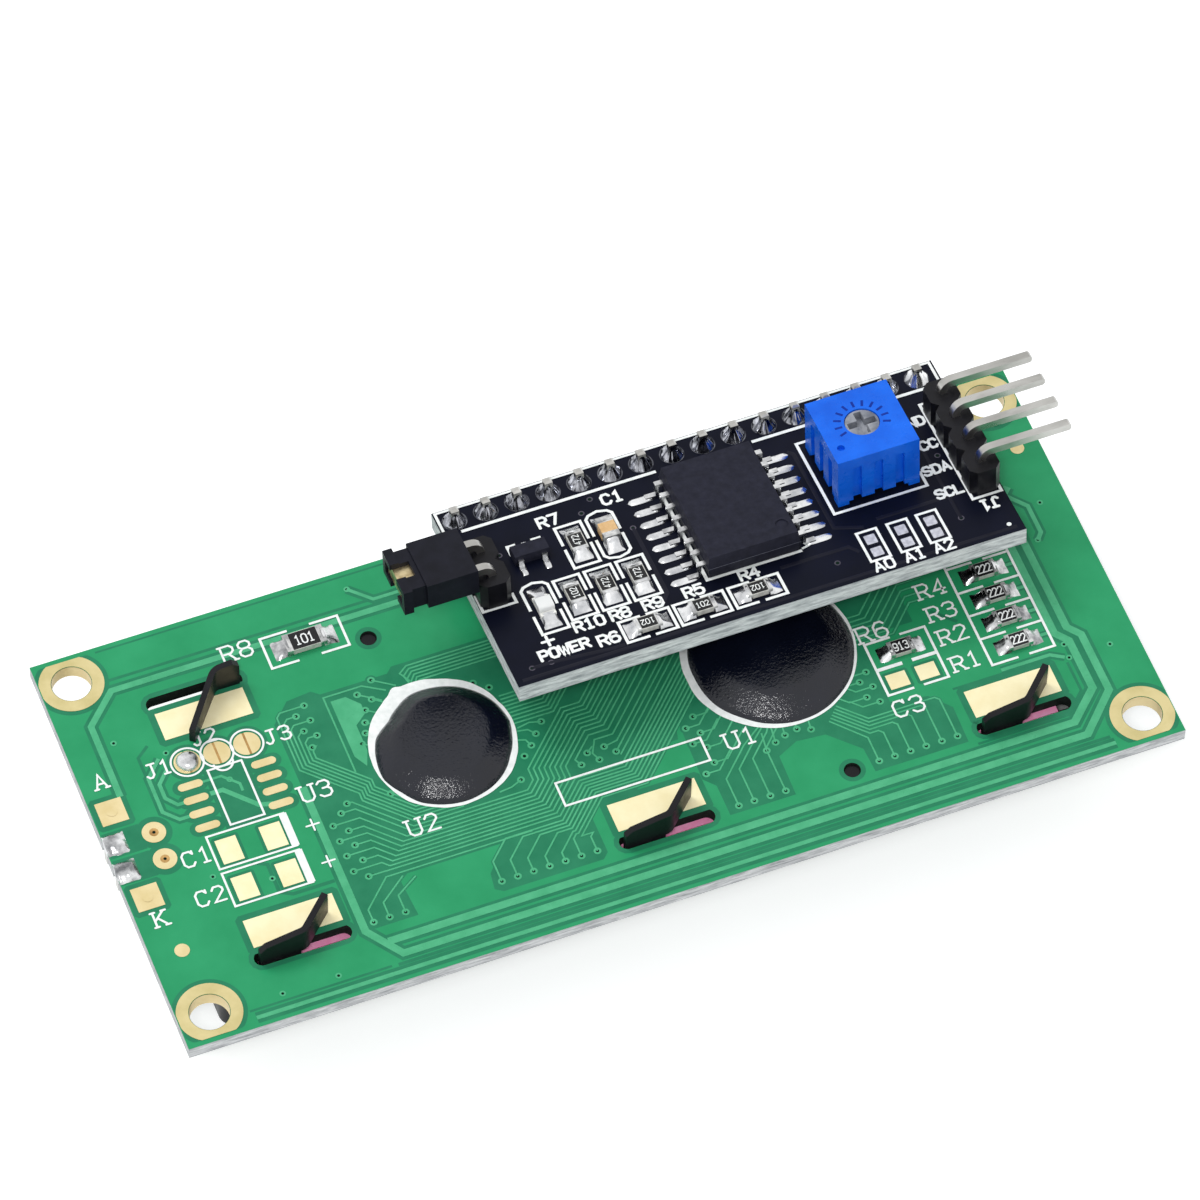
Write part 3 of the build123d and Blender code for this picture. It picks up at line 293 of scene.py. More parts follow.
adapter_base = (Vector((0, ROW_Y, 0)) + UP_ADAPTER * (ADAPTER_TOP - ADAPTER_THICKNESS)) * MM
BOARDS = {
    "display_board": board(
        "display_board_mask", (0, 0, 1), (35, 142, 92), (45, 153, 102), 0.3, 0.22, (158, 161, 164),
        (236, 238, 238), BOARD_THICKNESS, (0, 0, FRONT_Z * MM), BOARD_HALF),
    "adapter_board": board(
        "adapter_board_mask", tuple(UP_ADAPTER), (9, 12, 24), (14, 17, 33), 0.34, 0.09, (150, 154, 160),
        (236, 238, 240), ADAPTER_THICKNESS, tuple(adapter_base)),
}
# Each row: name, dark and light colour, scale of its mottling, roughness, bump, specular, coat
PLASTICS = {
    "channel": ("mask_channel", (32, 117, 83), (42, 128, 92), 500, (0.28, 0.4), (900, 0.08, 0.03), 0.2),
    "track": ("mask_track", (66, 162, 115), (82, 177, 130), 700, (0.25, 0.38), (900, 0.08, 0.03), 0.25),
    "silk": ("legend_ink", (226, 231, 229), (247, 249, 248), 1800, (0.6, 0.75), (3200, 0.3, 0.03), 0.25),
    "bore": ("bared_rim", (150, 112, 62), (206, 166, 104), 1500, (0.4, 0.55), (1500, 0.15, 0.03), 0.3),
    "via_dim": ("via_under_mask", (58, 56, 68), (82, 78, 90), 1200, (0.4, 0.5), (900, 0.08, 0.03), 0.3),
    # Near-black green for the insides of holes: painted shade
    "hole": ("hole_dark", (4, 24, 16), (9, 32, 22), 900, (0.6, 0.7), (1200, 0.1, 0.02), 0.1),
    "bezel": ("bezel_enamel", (9, 9, 13), (18, 18, 23), 420, (0.3, 0.44), (1500, 0.2, 0.05), 0.25),
    "resin": ("poured_resin", (8, 11, 22), (14, 18, 32), 260, (0.06, 0.11), (4400, 0.75, 0.08), 0.5),
    "package": ("moulded_package", (26, 27, 38), (36, 37, 50), 1600, (0.5, 0.66), (5200, 0.35, 0.03), 0.16),
    "header": ("header_plastic", (9, 9, 13), (19, 19, 25), 800, (0.28, 0.44), (1700, 0.25, 0.05), 0.22),
    "cap": ("cap_plastic", (15, 16, 24), (25, 26, 36), 800, (0.36, 0.5), (2400, 0.25, 0.03), 0.15),
    "blue": ("trimmer_blue", (9, 90, 212), (17, 106, 233), 500, (0.24, 0.34), (2400, 0.15, 0.03), 0.25),
    "blue_mark": ("trimmer_mark", (8, 40, 132), (12, 52, 158), 900, (0.5, 0.6), (2000, 0.1, 0.02), 0.2),
    "rotor": ("rotor_grey", (104, 108, 118), (160, 163, 170), 1300, (0.45, 0.6), (2200, 0.4, 0.05), 0.3),
    "pink": ("contact_rubber", (255, 148, 194), (255, 176, 213), 1200, (0.55, 0.7), (2200, 0.3, 0.04), 0.3),
    "white": ("tray_white", (226, 228, 226), (244, 245, 243), 500, (0.4, 0.55), (1500, 0.1, 0.03), 0.4),
    "ceramic": ("ceramic_plate", (226, 226, 220), (240, 240, 236), 1200, (0.5, 0.6), (2400, 0.2, 0.03), 0.35),
    "blue_film": ("display_film", (15, 28, 112), (21, 37, 130), 120, (0.1, 0.16), (500, 0.03, 0.02), 0.28,
                  0.08),
    "grey_film": ("rear_film", (70, 80, 120), (84, 94, 134), 300, (0.3, 0.4), (900, 0.05, 0.02), 0.4),
    "lamp_board": ("lamp_board_mask", (26, 58, 40), (34, 70, 50), 900, (0.4, 0.5), (1500, 0.1, 0.03), 0.4),
    # Lighter grey for the chip's moulding seam: a painted highlight
    "seam": ("package_seam", (74, 76, 88), (104, 106, 118), 2400, (0.4, 0.5), (3000, 0.2, 0.02), 0.3),
    "faint": ("mask_relief", (19, 20, 31), (25, 26, 38), 600, (0.3, 0.42), (900, 0.08, 0.03), 0.14),
}
# Each row: name, dark and light colour, scale of its mottling, roughness, bump, stretch, metallic
METALS = {
    "gold": ("gold_flash", (222, 202, 146), (234, 216, 166), 500, (0.36, 0.46), (1600, 0.08, 0.02), None,
             0.35),
    "gold_field": ("gold_field_flash", (246, 233, 184), (253, 243, 200), 500, (0.4, 0.5), (1600, 0.08, 0.02),
                   None, 0.2),
    "gold_ring": ("gold_ring_flash", (204, 190, 132), (220, 205, 150), 500, (0.34, 0.44), (1600, 0.08, 0.02),
                  None, 0.4),
    "solder": ("solder_bright", (122, 124, 127), (238, 239, 240), 800, (0.14, 0.3), (900, 0.45, 0.08)),
    "solder_smooth": ("solder_reflowed", (186, 188, 192), (240, 241, 242), 700, (0.16, 0.28),
                      (1000, 0.25, 0.05)),
    # Solder painted dark with stretched light streaks: painted shade and painted reflections
    "solder_dark": ("solder_joint", (44, 46, 53), (196, 198, 206), 1100, (0.1, 0.2), (1500, 0.3, 0.05),
                    (2.0, 0.8, 0.8)),
    "solder_dim": ("solder_rim", (52, 54, 60), (118, 120, 128), 1400, (0.2, 0.32), (1500, 0.2, 0.03)),
    "solder_flat": ("solder_flat", (176, 177, 186), (212, 213, 220), 2600, (0.45, 0.6), (3200, 0.3, 0.03),
                    None, 0.3),
    "tin": ("tinned_metal", (166, 165, 161), (196, 195, 191), 600, (0.26, 0.36), (1500, 0.12, 0.02),
            (0.4, 1.0, 1.0)),
    "lead_tin": ("lead_tin", (176, 177, 179), (232, 233, 234), 1200, (0.2, 0.32), (2200, 0.15, 0.02)),
    "brass": ("clip_brass", (150, 128, 86), (226, 208, 164), 900, (0.25, 0.42), (1600, 0.2, 0.03)),
}
# Each row: name, tint, roughness, transmission
CLEARS = {
    "glass": ("pane_glass", (205, 220, 226), 0.04, 0.85),
    "guide": ("guide_acrylic", (232, 238, 238), 0.12, 0.6),
    "lens": ("lamp_resin", (248, 252, 249), 0.2, 0.25),
}
M = dict(BOARDS)
for make_finish, rows in ((plastic, PLASTICS), (metal, METALS), (clear, CLEARS)):
    M.update({key: make_finish(*row) for key, row in rows.items()})


def paint(node, mat):
    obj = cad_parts[node]
    if not obj.material_slots:
        obj.data.materials.append(mat)
    for one in obj.material_slots:
        one.material = mat


# Mesh making: a layer looks for crossing shapes in square cells and lifts them apart by small levels
CELL = 2
LEVEL_STEP = 0.0011
TOUCHING = 1e-9
SHARPEST_MITRE = 0.45
FLAT, RAISED = ((-0.5, 0), (0.5, 0)), ((-0.5, 0), (-0.3, 1), (0.3, 1), (0.5, 0))
OVAL_TURNS = [180 * i / 8 for i in range(9)]
COARSE_TURNS = [22.5 * i for i in range(16)]


def apart(a, b):
    """True where a side of one convex outline has the other outline wholly beyond it."""
    for one, other in ((a, b), (b, a)):
        for i, (x, y) in enumerate(one):
            nx, ny = one[i - 1][1] - y, x - one[i - 1][0]
            mine = [nx * p[0] + ny * p[1] for p in one]
            theirs = [nx * p[0] + ny * p[1] for p in other]
            if max(mine) <= min(theirs) + TOUCHING or max(theirs) <= min(mine) + TOUCHING:
                return True
    return False


class Layer:
    """Shapes on one face of a board, from a height of their own up, gathered into one piece."""

    def __init__(self, name, place, key, slot, base=0.0, smooth=False):
        self.name, self.place, self.key, self.slot_name = name, place, key, slot
        self.base, self.smooth = base, smooth
        self.points, self.faces = [], []
        self.cells = {}

    def lift(self, outlines):
        """Small height that keeps a shape off the shapes of this layer that it crosses."""
        used, homes = set(), []
        for outline in outlines:
            xs, ys = [p[0] for p in outline], [p[1] for p in outline]
            for i in range(int(min(xs) // CELL), int(max(xs) // CELL) + 1):
                for j in range(int(min(ys) // CELL), int(max(ys) // CELL) + 1):
                    home = self.cells.setdefault((i, j), [])
                    homes.append((home, outline))
                    for other, level in home:
                        if level not in used and not apart(outline, other):
                            used.add(level)
        level = 0
        while level in used:
            level += 1
        for home, outline in homes:
            home.append((outline, level))
        return level * LEVEL_STEP

    def add(self, points, faces):
        first = len(self.points)
        self.points += [self.place(x, y, self.base + h) for x, y, h in points]
        for face in faces:
            face = [first + i for i in face]
            self.faces.append(face[::-1] if self.place in FLIPPED else face)

    def area(self, outline, h=0.0):
        h = h + self.lift([outline])
        self.add([(x, y, h) for x, y in outline], [list(range(len(outline)))])

    def rect(self, x0, y0, x1, y1, h=0.0):
        self.area([(x0, y0), (x1, y0), (x1, y1), (x0, y1)], h)

    def grow(self, x0, y0, x1, y1, by, h=0.0):
        """Rectangle grown by a margin, with cut corners."""
        c = by * 0.6
        a, b, d, e = x0 - by, y0 - by, x1 + by, y1 + by
        self.area([(a + c, b), (d - c, b), (d, b + c), (d, e - c), (d - c, e), (a + c, e), (a, e - c),
                   (a, b + c)], h)

    def disc(self, x, y, r, n=20, h=0.0):
        self.area([turned(x, y, r, 0, 360 * i / n) for i in range(n)], h)

    def oval(self, x0, y0, x1, y1, h=0.0):
        """Bar along x with round ends."""
        r, y = (y1 - y0) / 2, (y0 + y1) / 2
        self.area([turned(x, y, r, 0, start + t) for x, start in ((x1 - r, -90), (x0 + r, 90))
                   for t in OVAL_TURNS], h)

    def ring(self, x, y, outer, inner, n=40, start=0.0, sweep=360.0, box=None, h=0.0):
        """Flat ring or arc, cut off where it would leave a box."""
        h = h + self.lift([[turned(x, y, outer, 0, t) for t in COARSE_TURNS]])
        count = n if sweep >= 360 else n + 1
        pts = []
        for i in range(count):
            t = start + sweep * i / n
            far = turned(x, y, outer, 0, t)
            if box:
                far = (min(max(far[0], box[0]), box[2]), min(max(far[1], box[1]), box[3]))
            pts += [(*turned(x, y, inner, 0, t), h), (*far, h)]
        faces = []
        for i in range(n):
            j = (i + 1) % count
            faces.append([2 * i, 2 * i + 1, 2 * j + 1, 2 * j])
        self.add(pts, faces)

    def ribbon(self, path, width, rise=0.0, closed=False, h=0.0):
        """Flat or slightly raised band along a path, mitred at its corners."""
        n = len(path)
        spans = n if closed else n - 1
        bars = []
        for i in range(spans):
            a, b = Vector(path[i]), Vector(path[(i + 1) % n])
            along = (b - a).normalized() * width / 2
            across = Vector((-along.y, along.x))
            bars.append([tuple(p) for p in (a - along - across, b + along - across, b + along + across,
                                            a - along + across)])
        h = h + self.lift(bars)
        profile = RAISED if rise else FLAT
        pts = []
        for i, here in enumerate(path):
            ways = []
            if i or closed:
                ways.append((Vector(here) - Vector(path[i - 1])).normalized())
            if i < n - 1 or closed:
                ways.append((Vector(path[(i + 1) % n]) - Vector(here)).normalized())
            way = sum(ways, Vector((0, 0)))
            way = way.normalized() if way.length > 1e-6 else ways[0]
            side = Vector((-way.y, way.x)) / max(SHARPEST_MITRE, way.dot(ways[0])) * width
            pts += [(here[0] - side.x * k, here[1] - side.y * k, h + z * rise) for k, z in profile]
        m = len(profile)
        faces = []
        for i in range(spans):
            j = (i + 1) % n
            faces += [[i * m + k + 1, j * m + k + 1, j * m + k, i * m + k] for k in range(m - 1)]
        self.add(pts, faces)

    def stroke(self, path, width, h=0.0):
        """Inked line with round ends and corners."""
        self.ribbon(path, width, h=h)
        for x, y in path:
            self.disc(x, y, width / 2, 10, h)

    def grid(self, rows):
        """Surface through rows of points."""
        m = len(rows[0])
        faces = []
        for i in range(len(rows) - 1):
            for k in range(m - 1):
                faces.append([i * m + k, (i + 1) * m + k, (i + 1) * m + k + 1, i * m + k + 1])
        self.add([p for row in rows for p in row], faces)

    def make(self, body="module"):
        mesh = bpy.data.meshes.new(self.name)
        mesh.from_pydata(self.points, [], self.faces)
        mesh.update()
        for polygon in mesh.polygons:
            polygon.use_smooth = self.smooth
        obj = bpy.data.objects.new(self.name, mesh)
        bpy.context.scene.collection.objects.link(obj)
        mesh.materials.append(M[self.key])
        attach(obj, body)
        return obj


# Stroke letters, with serifs for some of them
GLYPH_WIDTH, GLYPH_HEIGHT = 4, 6
ROUND = [(1, 0), (3, 0), (4, 1.1), (4, 4.9), (3, 6), (1, 6), (0, 4.9), (0, 1.1), (1, 0)]
GLYPHS = {
    "0": [ROUND],
    "1": [[(0.8, 4.9), (2, 6), (2, 0)], [(0.9, 0), (3.1, 0)]],
    "2": [[(0.1, 4.8), (1, 6), (3, 6), (3.9, 5), (3.9, 4), (0, 0), (4, 0)]],
    "3": [[(0.1, 5.2), (1, 6), (3, 6), (3.9, 5.1), (3.9, 4), (3, 3.2), (1.5, 3.2)],
          [(3, 3.2), (4, 2.3), (4, 1), (3, 0), (1, 0), (0, 0.9)]],
    "4": [[(3, 0), (3, 6), (0, 1.9), (4.1, 1.9)]],
    "5": [[(3.8, 6), (0.4, 6), (0.2, 3.3), (1.2, 3.8), (3, 3.8), (4, 2.8), (4, 1.1), (3, 0), (1, 0),
           (0, 0.9)]],
    "6": [[(3.7, 5.2), (3, 6), (1.2, 6), (0, 4.6), (0, 1.1), (1, 0), (3, 0), (4, 1.1), (4, 2.5), (3, 3.5),
           (1, 3.5), (0, 2.4)]],
    "7": [[(0, 6), (4, 6), (1.6, 0)]],
    "8": [[(1, 3.2), (0.1, 4), (0.1, 5.1), (1, 6), (3, 6), (3.9, 5.1), (3.9, 4), (3, 3.2), (1, 3.2), (0, 2.2),
           (0, 1), (1, 0), (3, 0), (4, 1), (4, 2.2), (3, 3.2)]],
    "9": [[(0.3, 0.8), (1, 0), (2.8, 0), (4, 1.4), (4, 4.9), (3, 6), (1, 6), (0, 4.9), (0, 3.5), (1, 2.5),
           (3, 2.5), (4, 3.6)]],
    "A": [[(0, 0), (2, 6), (4, 0)], [(0.7, 2), (3.3, 2)]],
    "C": [[(3.9, 4.8), (3, 6), (1, 6), (0, 4.8), (0, 1.2), (1, 0), (3, 0), (3.9, 1.2)]],
    "D": [[(0, 0), (0, 6), (2.6, 6), (4, 4.6), (4, 1.4), (2.6, 0), (0, 0)]],
    "E": [[(3.8, 6), (0, 6), (0, 0), (3.9, 0)], [(0, 3.1), (3, 3.1)]],
    "G": [[(3.9, 4.9), (3, 6), (1, 6), (0, 4.8), (0, 1.2), (1, 0), (3, 0), (4, 1.2), (4, 2.7), (2.4, 2.7)]],
    "J": [[(1.4, 6), (4.2, 6)], [(2.9, 6), (2.9, 1.1), (2, 0), (1, 0), (0.2, 1)]],
    "K": [[(0, 0), (0, 6)], [(3.9, 6), (0, 2.4)], [(1.2, 3.5), (4, 0)]],
    "L": [[(0, 6), (0, 0), (3.8, 0)]],
    "N": [[(0, 0), (0, 6), (4, 0), (4, 6)]],
    "O": [ROUND],
    "P": [[(0, 0), (0, 6), (3, 6), (4, 5), (4, 3.7), (3, 2.7), (0, 2.7)]],
    "R": [[(0, 0), (0, 6), (3, 6), (4, 5), (4, 3.8), (3, 2.9), (0, 2.9)], [(2.1, 2.9), (4, 0)]],
    "S": [[(3.9, 5), (3, 6), (1, 6), (0, 5), (0, 4), (1, 3.2), (3, 2.8), (4, 2), (4, 1), (3, 0), (1, 0),
           (0, 1)]],
    "U": [[(0, 6), (0, 1.1), (1, 0), (3, 0), (4, 1.1), (4, 6)]],
    "V": [[(0, 6), (2, 0), (4, 6)]],
    "W": [[(-0.2, 6), (0.9, 0), (2, 4.4), (3.1, 0), (4.2, 6)]],
    "+": [[(2, 0.6), (2, 5.4)], [(-0.4, 3), (4.4, 3)]],
    "-": [[(0.4, 3), (3.6, 3)]],
    " ": [],
}
FEET = {
    "A": [[(-0.8, 0), (0.7, 0)], [(3.3, 0), (4.8, 0)]],
    "R": [[(-0.8, 0), (0.9, 0)], [(-0.8, 6), (0.2, 6)], [(3.5, 0), (4.8, 0)]],
    "U": [[(-0.9, 6), (0.9, 6)], [(3.1, 6), (4.9, 6)]],
    "K": [[(-0.8, 0), (0.8, 0)], [(-0.8, 6), (0.8, 6)], [(3.1, 6), (4.7, 6)], [(3.2, 0), (4.9, 0)]],
    "C": [[(3.9, 4.8), (3.9, 6)]],
    "4": [[(2.1, 0), (3.9, 0)]],
}


def letters(layer, words, x, y, height, weight, turn=0.0, feet=False, wide=1.0, gap=1.9, h=0.0, align=0.5):
    """Words in stroke letters, centred on a point unless aligned otherwise."""
    unit = height / GLYPH_HEIGHT
    step = (GLYPH_WIDTH + gap) * unit * wide
    length = step * len(words) - gap * unit * wide
    for i, letter in enumerate(words):
        for path in GLYPHS[letter] + (FEET.get(letter, []) if feet else []):
            start = i * step - length * align
            pts = [turned(x, y, start + px * unit * wide, py * unit - height / 2, turn) for px, py in path]
            layer.stroke(pts, weight, h)


# Layers on the display board's component face: gaps in the copper, copper, gold and ink
CHANNEL_H, TRACK_H, PAD_H, INK_H = 0.003, 0.018, 0.034, 0.04
TRACE_RISE = 0.01
FINE_TRACK, FINE_GAP = 0.13, 0.28
LOWER_VIA_Y = -12.45
channel = Layer("display_channels", on_display, "channel", "board_green", CHANNEL_H)
track = Layer("display_tracks", on_display, "track", "board_green", TRACK_H)
pads = Layer("display_pads", on_display, "gold", "gold_metal", PAD_H)
fields = Layer("display_fields", on_display, "gold_field", "gold_metal", PAD_H)
rings = Layer("display_rings", on_display, "gold_ring", "gold_metal", PAD_H)
bores = Layer("display_bores", on_display, "bore", "gold_metal", PAD_H - 0.004)
ink = Layer("display_legend", on_display, "silk", "board_green", INK_H)
# Dark discs in the via holes and lead holes: painted shade down the holes
pits = Layer("display_vias", on_display, "hole", "board_green", TRACK_H + 0.005)


def trace(path, light=FINE_TRACK, dark=FINE_GAP):
    """Track with the gaps in the copper on either side of it."""
    channel.ribbon(path, dark)
    track.ribbon(path, light, TRACE_RISE)


def via(x, y, r=0.24, halo=True):
    if halo:
        channel.disc(x, y, r * 1.9, 18, 0.001)
    track.ring(x, y, r * 1.25, r * 0.55, 18, h=0.004)
    # Dark disc in the via's hole: painted shade
    pits.disc(x, y, r * 0.56, 12)


def via_trace(path, dark=0.3):
    """Fine track that starts at a via."""
    trace(path, dark=dark)
    via(*path[0])


# Areas without copper under the mask
for outline in (
        [(-30.9, -0.95), (-27.4, -0.95), (-27.4, 4.5), (-30.9, 4.5)],
        [(-24.3, -13.0), (-20.1, -13.0), (-20.3, -9.8), (-19.6, -9.3), (-24.3, -9.3)],
        [(-24.3, -9.3), (-6.4, -9.3), (-4.6, -8.5), (-0.9, -8.5), (2.4, -5.3), (3.7, -5.3), (4.3, -3.0),
         (7.5, -3.0), (7.5, 8.5), (-14.3, 8.5), (-14.8, 8.0), (-20.2, 8.0), (-20.8, 8.5), (-22.8, 8.3),
         (-24.4, 6.6)],
        [(-14.0, -12.9), (-13.4, -13.3), (-5.4, -13.3), (-4.9, -12.8), (-4.9, -9.6), (-6.4, -9.3),
         (-11.9, -9.3), (-13.8, -11.5)],
        [(16.6, -13.2), (24.2, -13.2), (24.3, -9.9), (22.9, -8.3), (20.0, -7.8), (20.0, 4.0), (7.5, 4.0),
         (7.5, -3.0), (4.3, -3.0), (4.1, -9.3), (4.9, -10.2), (4.9, -13.0), (10.2, -13.0), (10.3, -9.4),
         (12.0, -8.6), (14.3, -8.8), (16.5, -11.0)],
        [(24.4, 4.0), (24.4, -1.6), (20.0, -1.6), (20.0, 4.0)]):
    channel.area(outline, -0.002)

# Light island of copper left of the left resin
track.area([(-19.7, 7.1), (-18.5, 7.1), (-17.6, 6.1), (-17.6, 5.2), (-18.6, 4.4), (-18.6, 2.0), (-19.1, 0.7),
            (-19.7, 1.8)], -0.002)

# Long runs along the lower edge and up the right end
trace([(-23.0, -14.4), (32.4, -14.4), (34.9, -12.0), (34.9, -7.4), (34.1, -6.4), (34.1, 9.0)], 0.62, 1.15)
trace([(-24.3, 0.6), (-24.3, -13.0), (-22.3, -15.75), (32.9, -15.75), (36.0, -12.6), (36.0, -7.2),
       (35.2, -6.2), (35.2, 6.6), (36.0, 7.4)], 0.6, 1.15)
trace([(-34.4, -17.2), (34.6, -17.2)], 0.34, 0.95)
channel.ribbon([(-23.0, -16.55), (34.4, -16.55)], 0.28)
channel.ribbon([(24.8, -13.65), (32.2, -13.65), (34.0, -11.9), (34.0, -9.2)], 0.22)
channel.ribbon([(-34.7, -16.5), (-23.5, -16.5)], 0.2)

# Top left runs
trace([(-37.4, 4.6), (-37.4, 11.3), (-34.9, 13.85), (-9.0, 13.85)], 0.5, 1.05)
channel.ribbon([(-35.0, 14.8), (-9.0, 14.8)], 0.25)
trace([(-15.0, 16.3), (-13.4, 14.75), (-8.0, 14.75)], 0.28, 0.8)
channel.ribbon([(-34.9, 17.55), (34.9, 17.55)], 0.16)

# Tracks round the eight-pad place and the two capacitor places
trace([(-32.1, 2.43), (-33.6, 2.43), (-34.3, 3.3), (-34.3, 4.6), (-33.4, 5.6)], 0.3, 0.75)
trace([(-32.1, 1.15), (-33.9, 1.15), (-34.9, 2.2), (-34.9, 5.4), (-33.6, 6.8)], 0.3, 0.75)
trace([(-31.0, 2.5), (-30.0, 2.5), (-27.9, 0.3), (-26.2, -0.16)], 0.4, 0.85)
trace([(-31.2, 3.7), (-29.7, 3.7), (-28.6, 2.6), (-28.6, 1.9)], 0.22, 0.6)
channel.ribbon([(-30.2, -4.3), (-29.1, -4.9), (-29.1, -7.5), (-28.2, -8.0), (-24.9, -8.0)], 0.3)
channel.ribbon([(-35.0, 3.0), (-35.0, 7.4), (-34.0, 8.2)], 0.25)

# Fan-out at the left of the left resin
left_vias = [(-21.7, 7.46), (-22.6, 6.75), (-21.7, 6.05), (-22.5, 5.3), (-21.7, 4.6), (-22.4, 3.7)]
for i, (x, y) in enumerate(left_vias):
    lane = -24.0 + 0.31 * i
    low = 2.1 + 0.12 * i
    drop = lane + 3.5 - 0.05 * i
    end_y = -5.2 + 0.31 * i
    knee = low - 3.5 + 0.05 * i
    step = knee - 0.7
    via_trace([(x, y), (lane + 0.35, y), (lane, y - 0.35), (lane, low), (drop, knee), (drop, step),
               (drop + step - end_y, end_y), (-13.5, end_y)], FINE_GAP)
for x, y in ((-17.6, 6.97), (-16.7, 6.2), (-17.5, 5.45), (-17.9, 4.4), (-18.2, 3.5), (-18.8, 2.7),
             (-18.3, -2.25), (-16.15, 7.85)):
    via_trace([(x, y), (x + 1.6, y - 1.1)], FINE_GAP)
trace([(-20.1, 0.5), (-20.1, 7.6), (-17.0, 7.6), (-15.4, 6.6)], 0.14, 0.34)
LANE_END_Y = 6.0
right_vias = [(-21.7, -1.94), (-22.4, -2.6), (-23.35, -3.45), (-22.4, -4.25), (-23.35, -4.9), (-22.4, -5.6),
              (-23.3, -6.3), (-22.3, -7.05), (-23.3, -7.75), (-22.4, -8.55)]
lanes = []
for i in range(8):
    # Lanes that zigzag between the two resins: low diagonal, knee, diagonal, step, diagonal
    knee_x = -7.85 + 0.39 * i
    low, high = 3.0 - 0.5 * i, 4.05 - 0.5 * i
    turn_x = (-3.41 - 0.367 * high) / 1.367
    turn_y = turn_x + high
    step_x = -2.06 + 0.378 * (0.45 - turn_y)
    lanes.append((low, [(knee_x, knee_x + low), (knee_x, knee_x + high), (turn_x, turn_y), (step_x, turn_y),
                        (step_x + LANE_END_Y - turn_y, LANE_END_Y)]))
for i in range(2):
    step, high = -5.85 - 0.3 * i, -4.83 - 0.43 * i
    low = -1.0 - 0.5 * i
    end = 8.36 - 0.24 * i
    lanes.append((low, [(step - low, step), (step - high, step), (end, end + high)]))
for i, (x, y) in enumerate(right_vias):
    level = -5.55 - 0.335 * i
    bend_x = -21.3 + 0.03 * i
    low, rest = lanes[i]
    via_trace([(x, y), (bend_x, y), (bend_x + abs(y - level), level), (level - low, level)] + rest, FINE_GAP)
for i in range(3):
    x = -23.45 + 1.27 * i
    level = -9.05 - 0.34 * i
    turn_y = -11.3 + 0.2 * i
    end = [(-20.9 + 0.9 * i, level)] if i else [(x + level - turn_y, level), (-9.5, level)]
    via_trace([(x, LOWER_VIA_Y), (x, turn_y)] + end)
for i in range(7):
    x = -13.25 + 1.275 * i
    level = -9.0 - 0.3 * i
    low, high = -1.95 - 0.44 * i, -5.69 - 0.43 * i
    step = -6.45 - 0.28 * i
    start = level - low
    end = 7.88 - 0.24 * i
    run = min(1.6, max(0.3, start - x - 0.2))
    via_trace([(x, LOWER_VIA_Y), (x, max(level - run, -12.2)), (x + run, level), (start, level),
               (step - low, step), (step - high, step), (end, end + high)])
for i in range(6):
    y = 8.15 - 0.31 * i
    trace([(-13.4 - 0.1 * i, y - 1.4), (-13.9 + 0.2 * i, y - 0.5), (-13.2 + 0.1 * i, y), (8.0, y)])
for i in range(9):
    y = 3.1 - 0.34 * i
    x = -4.92 + 0.09 * i
    trace([(-7.6, y), (x, y), (x + LANE_END_Y - y, LANE_END_Y)])
for path in ([(-7.3, -0.1), (-6.3, 0.08), (-5.4, -0.17)], [(-7.4, -0.35), (-6.6, -0.5), (-6.17, -1.06)],
             [(-7.7, -1.1), (-7.1, -1.3), (-6.87, -1.92)], [(-8.7, -4.53), (-9.6, -4.9), (-10.6, -5.0)],
             [(-3.96, -4.89), (-4.25, -4.3), (-2.51, -2.56), (-0.92, -2.56), (7.6, 6.0)],
             [(-2.52, -4.92), (-2.8, -4.2), (-2.23, -3.1), (-0.75, -3.1), (7.8, 5.45)],
             [(-1.77, -3.95), (-0.65, -3.75), (8.0, 4.9)], [(-1.07, -4.68), (8.4, 4.79)],
             [(-3.17, -4.04), (-2.6, -3.6)], [(-0.85, -5.05), (8.5, 4.3)]):
    trace(path)
for x, y in [(-9.0, 4.9), (-8.0, 4.1), (-5.4, -0.17), (-6.17, -1.06), (-6.87, -1.92), (-7.7, -2.64),
             (-8.7, -4.53), (-3.96, -4.89), (-3.17, -4.04), (-2.52, -4.92), (-1.77, -3.95), (-1.07, -4.68)]:
    via(x, y)

# Fan-out round the right resin
for i, (x, y) in enumerate([(4.6, -4.6), (5.5, -3.8), (5.5, -5.35), (4.6, -6.1), (5.5, -6.75), (5.5, -8.2),
                            (4.55, -8.95)]):
    spread = 0.3 * (i % 3)
    via_trace([(x, y), (x + 1.1, y), (x + 2.6 + spread, y + 1.5 + spread)])
for i, x in enumerate((5.8, 7.05, 8.35, 9.6)):
    high = -9.9 + 0.5 * i
    run = 1.6 + 0.25 * (3 - i)
    via_trace([(x, LOWER_VIA_Y), (x, high), (x + run, high + run), (10.2 + 0.3 * i, -6.1)])
for x, y in [(9.6, -8.6), (10.5, -8.15), (11.4, -7.8), (12.45, -7.6), (13.45, -8.0)]:
    via_trace([(x, y), (x + 0.2, y + 1.6)])
for i in range(6):
    x = 17.2 + 1.28 * i
    level = -10.2 + 0.32 * i
    k = 7.2 + 0.42 * i
    start = [(x, level - 0.3), (x - 0.3, level), (k - level, level)] if i else [(x, level)]
    via_trace([(x, LOWER_VIA_Y)] + start + [(15.0 + 0.2 * i, k - 15.0 - 0.2 * i)])
for x, y in [(19.3, -4.65), (18.5, -5.35), (19.3, -6.05), (18.5, -6.8), (19.3, -7.5)]:
    via_trace([(x, y), (x - 1.4, y), (x - 2.2, y + 0.8)])
for i in range(7):
    y = -2.1 + 0.42 * i
    high = y + 2.2 + 0.2 * i
    trace([(19.2, y), (22.6 - 0.3 * i, y), (24.8 - 0.1 * i, high), (26.5, high)])

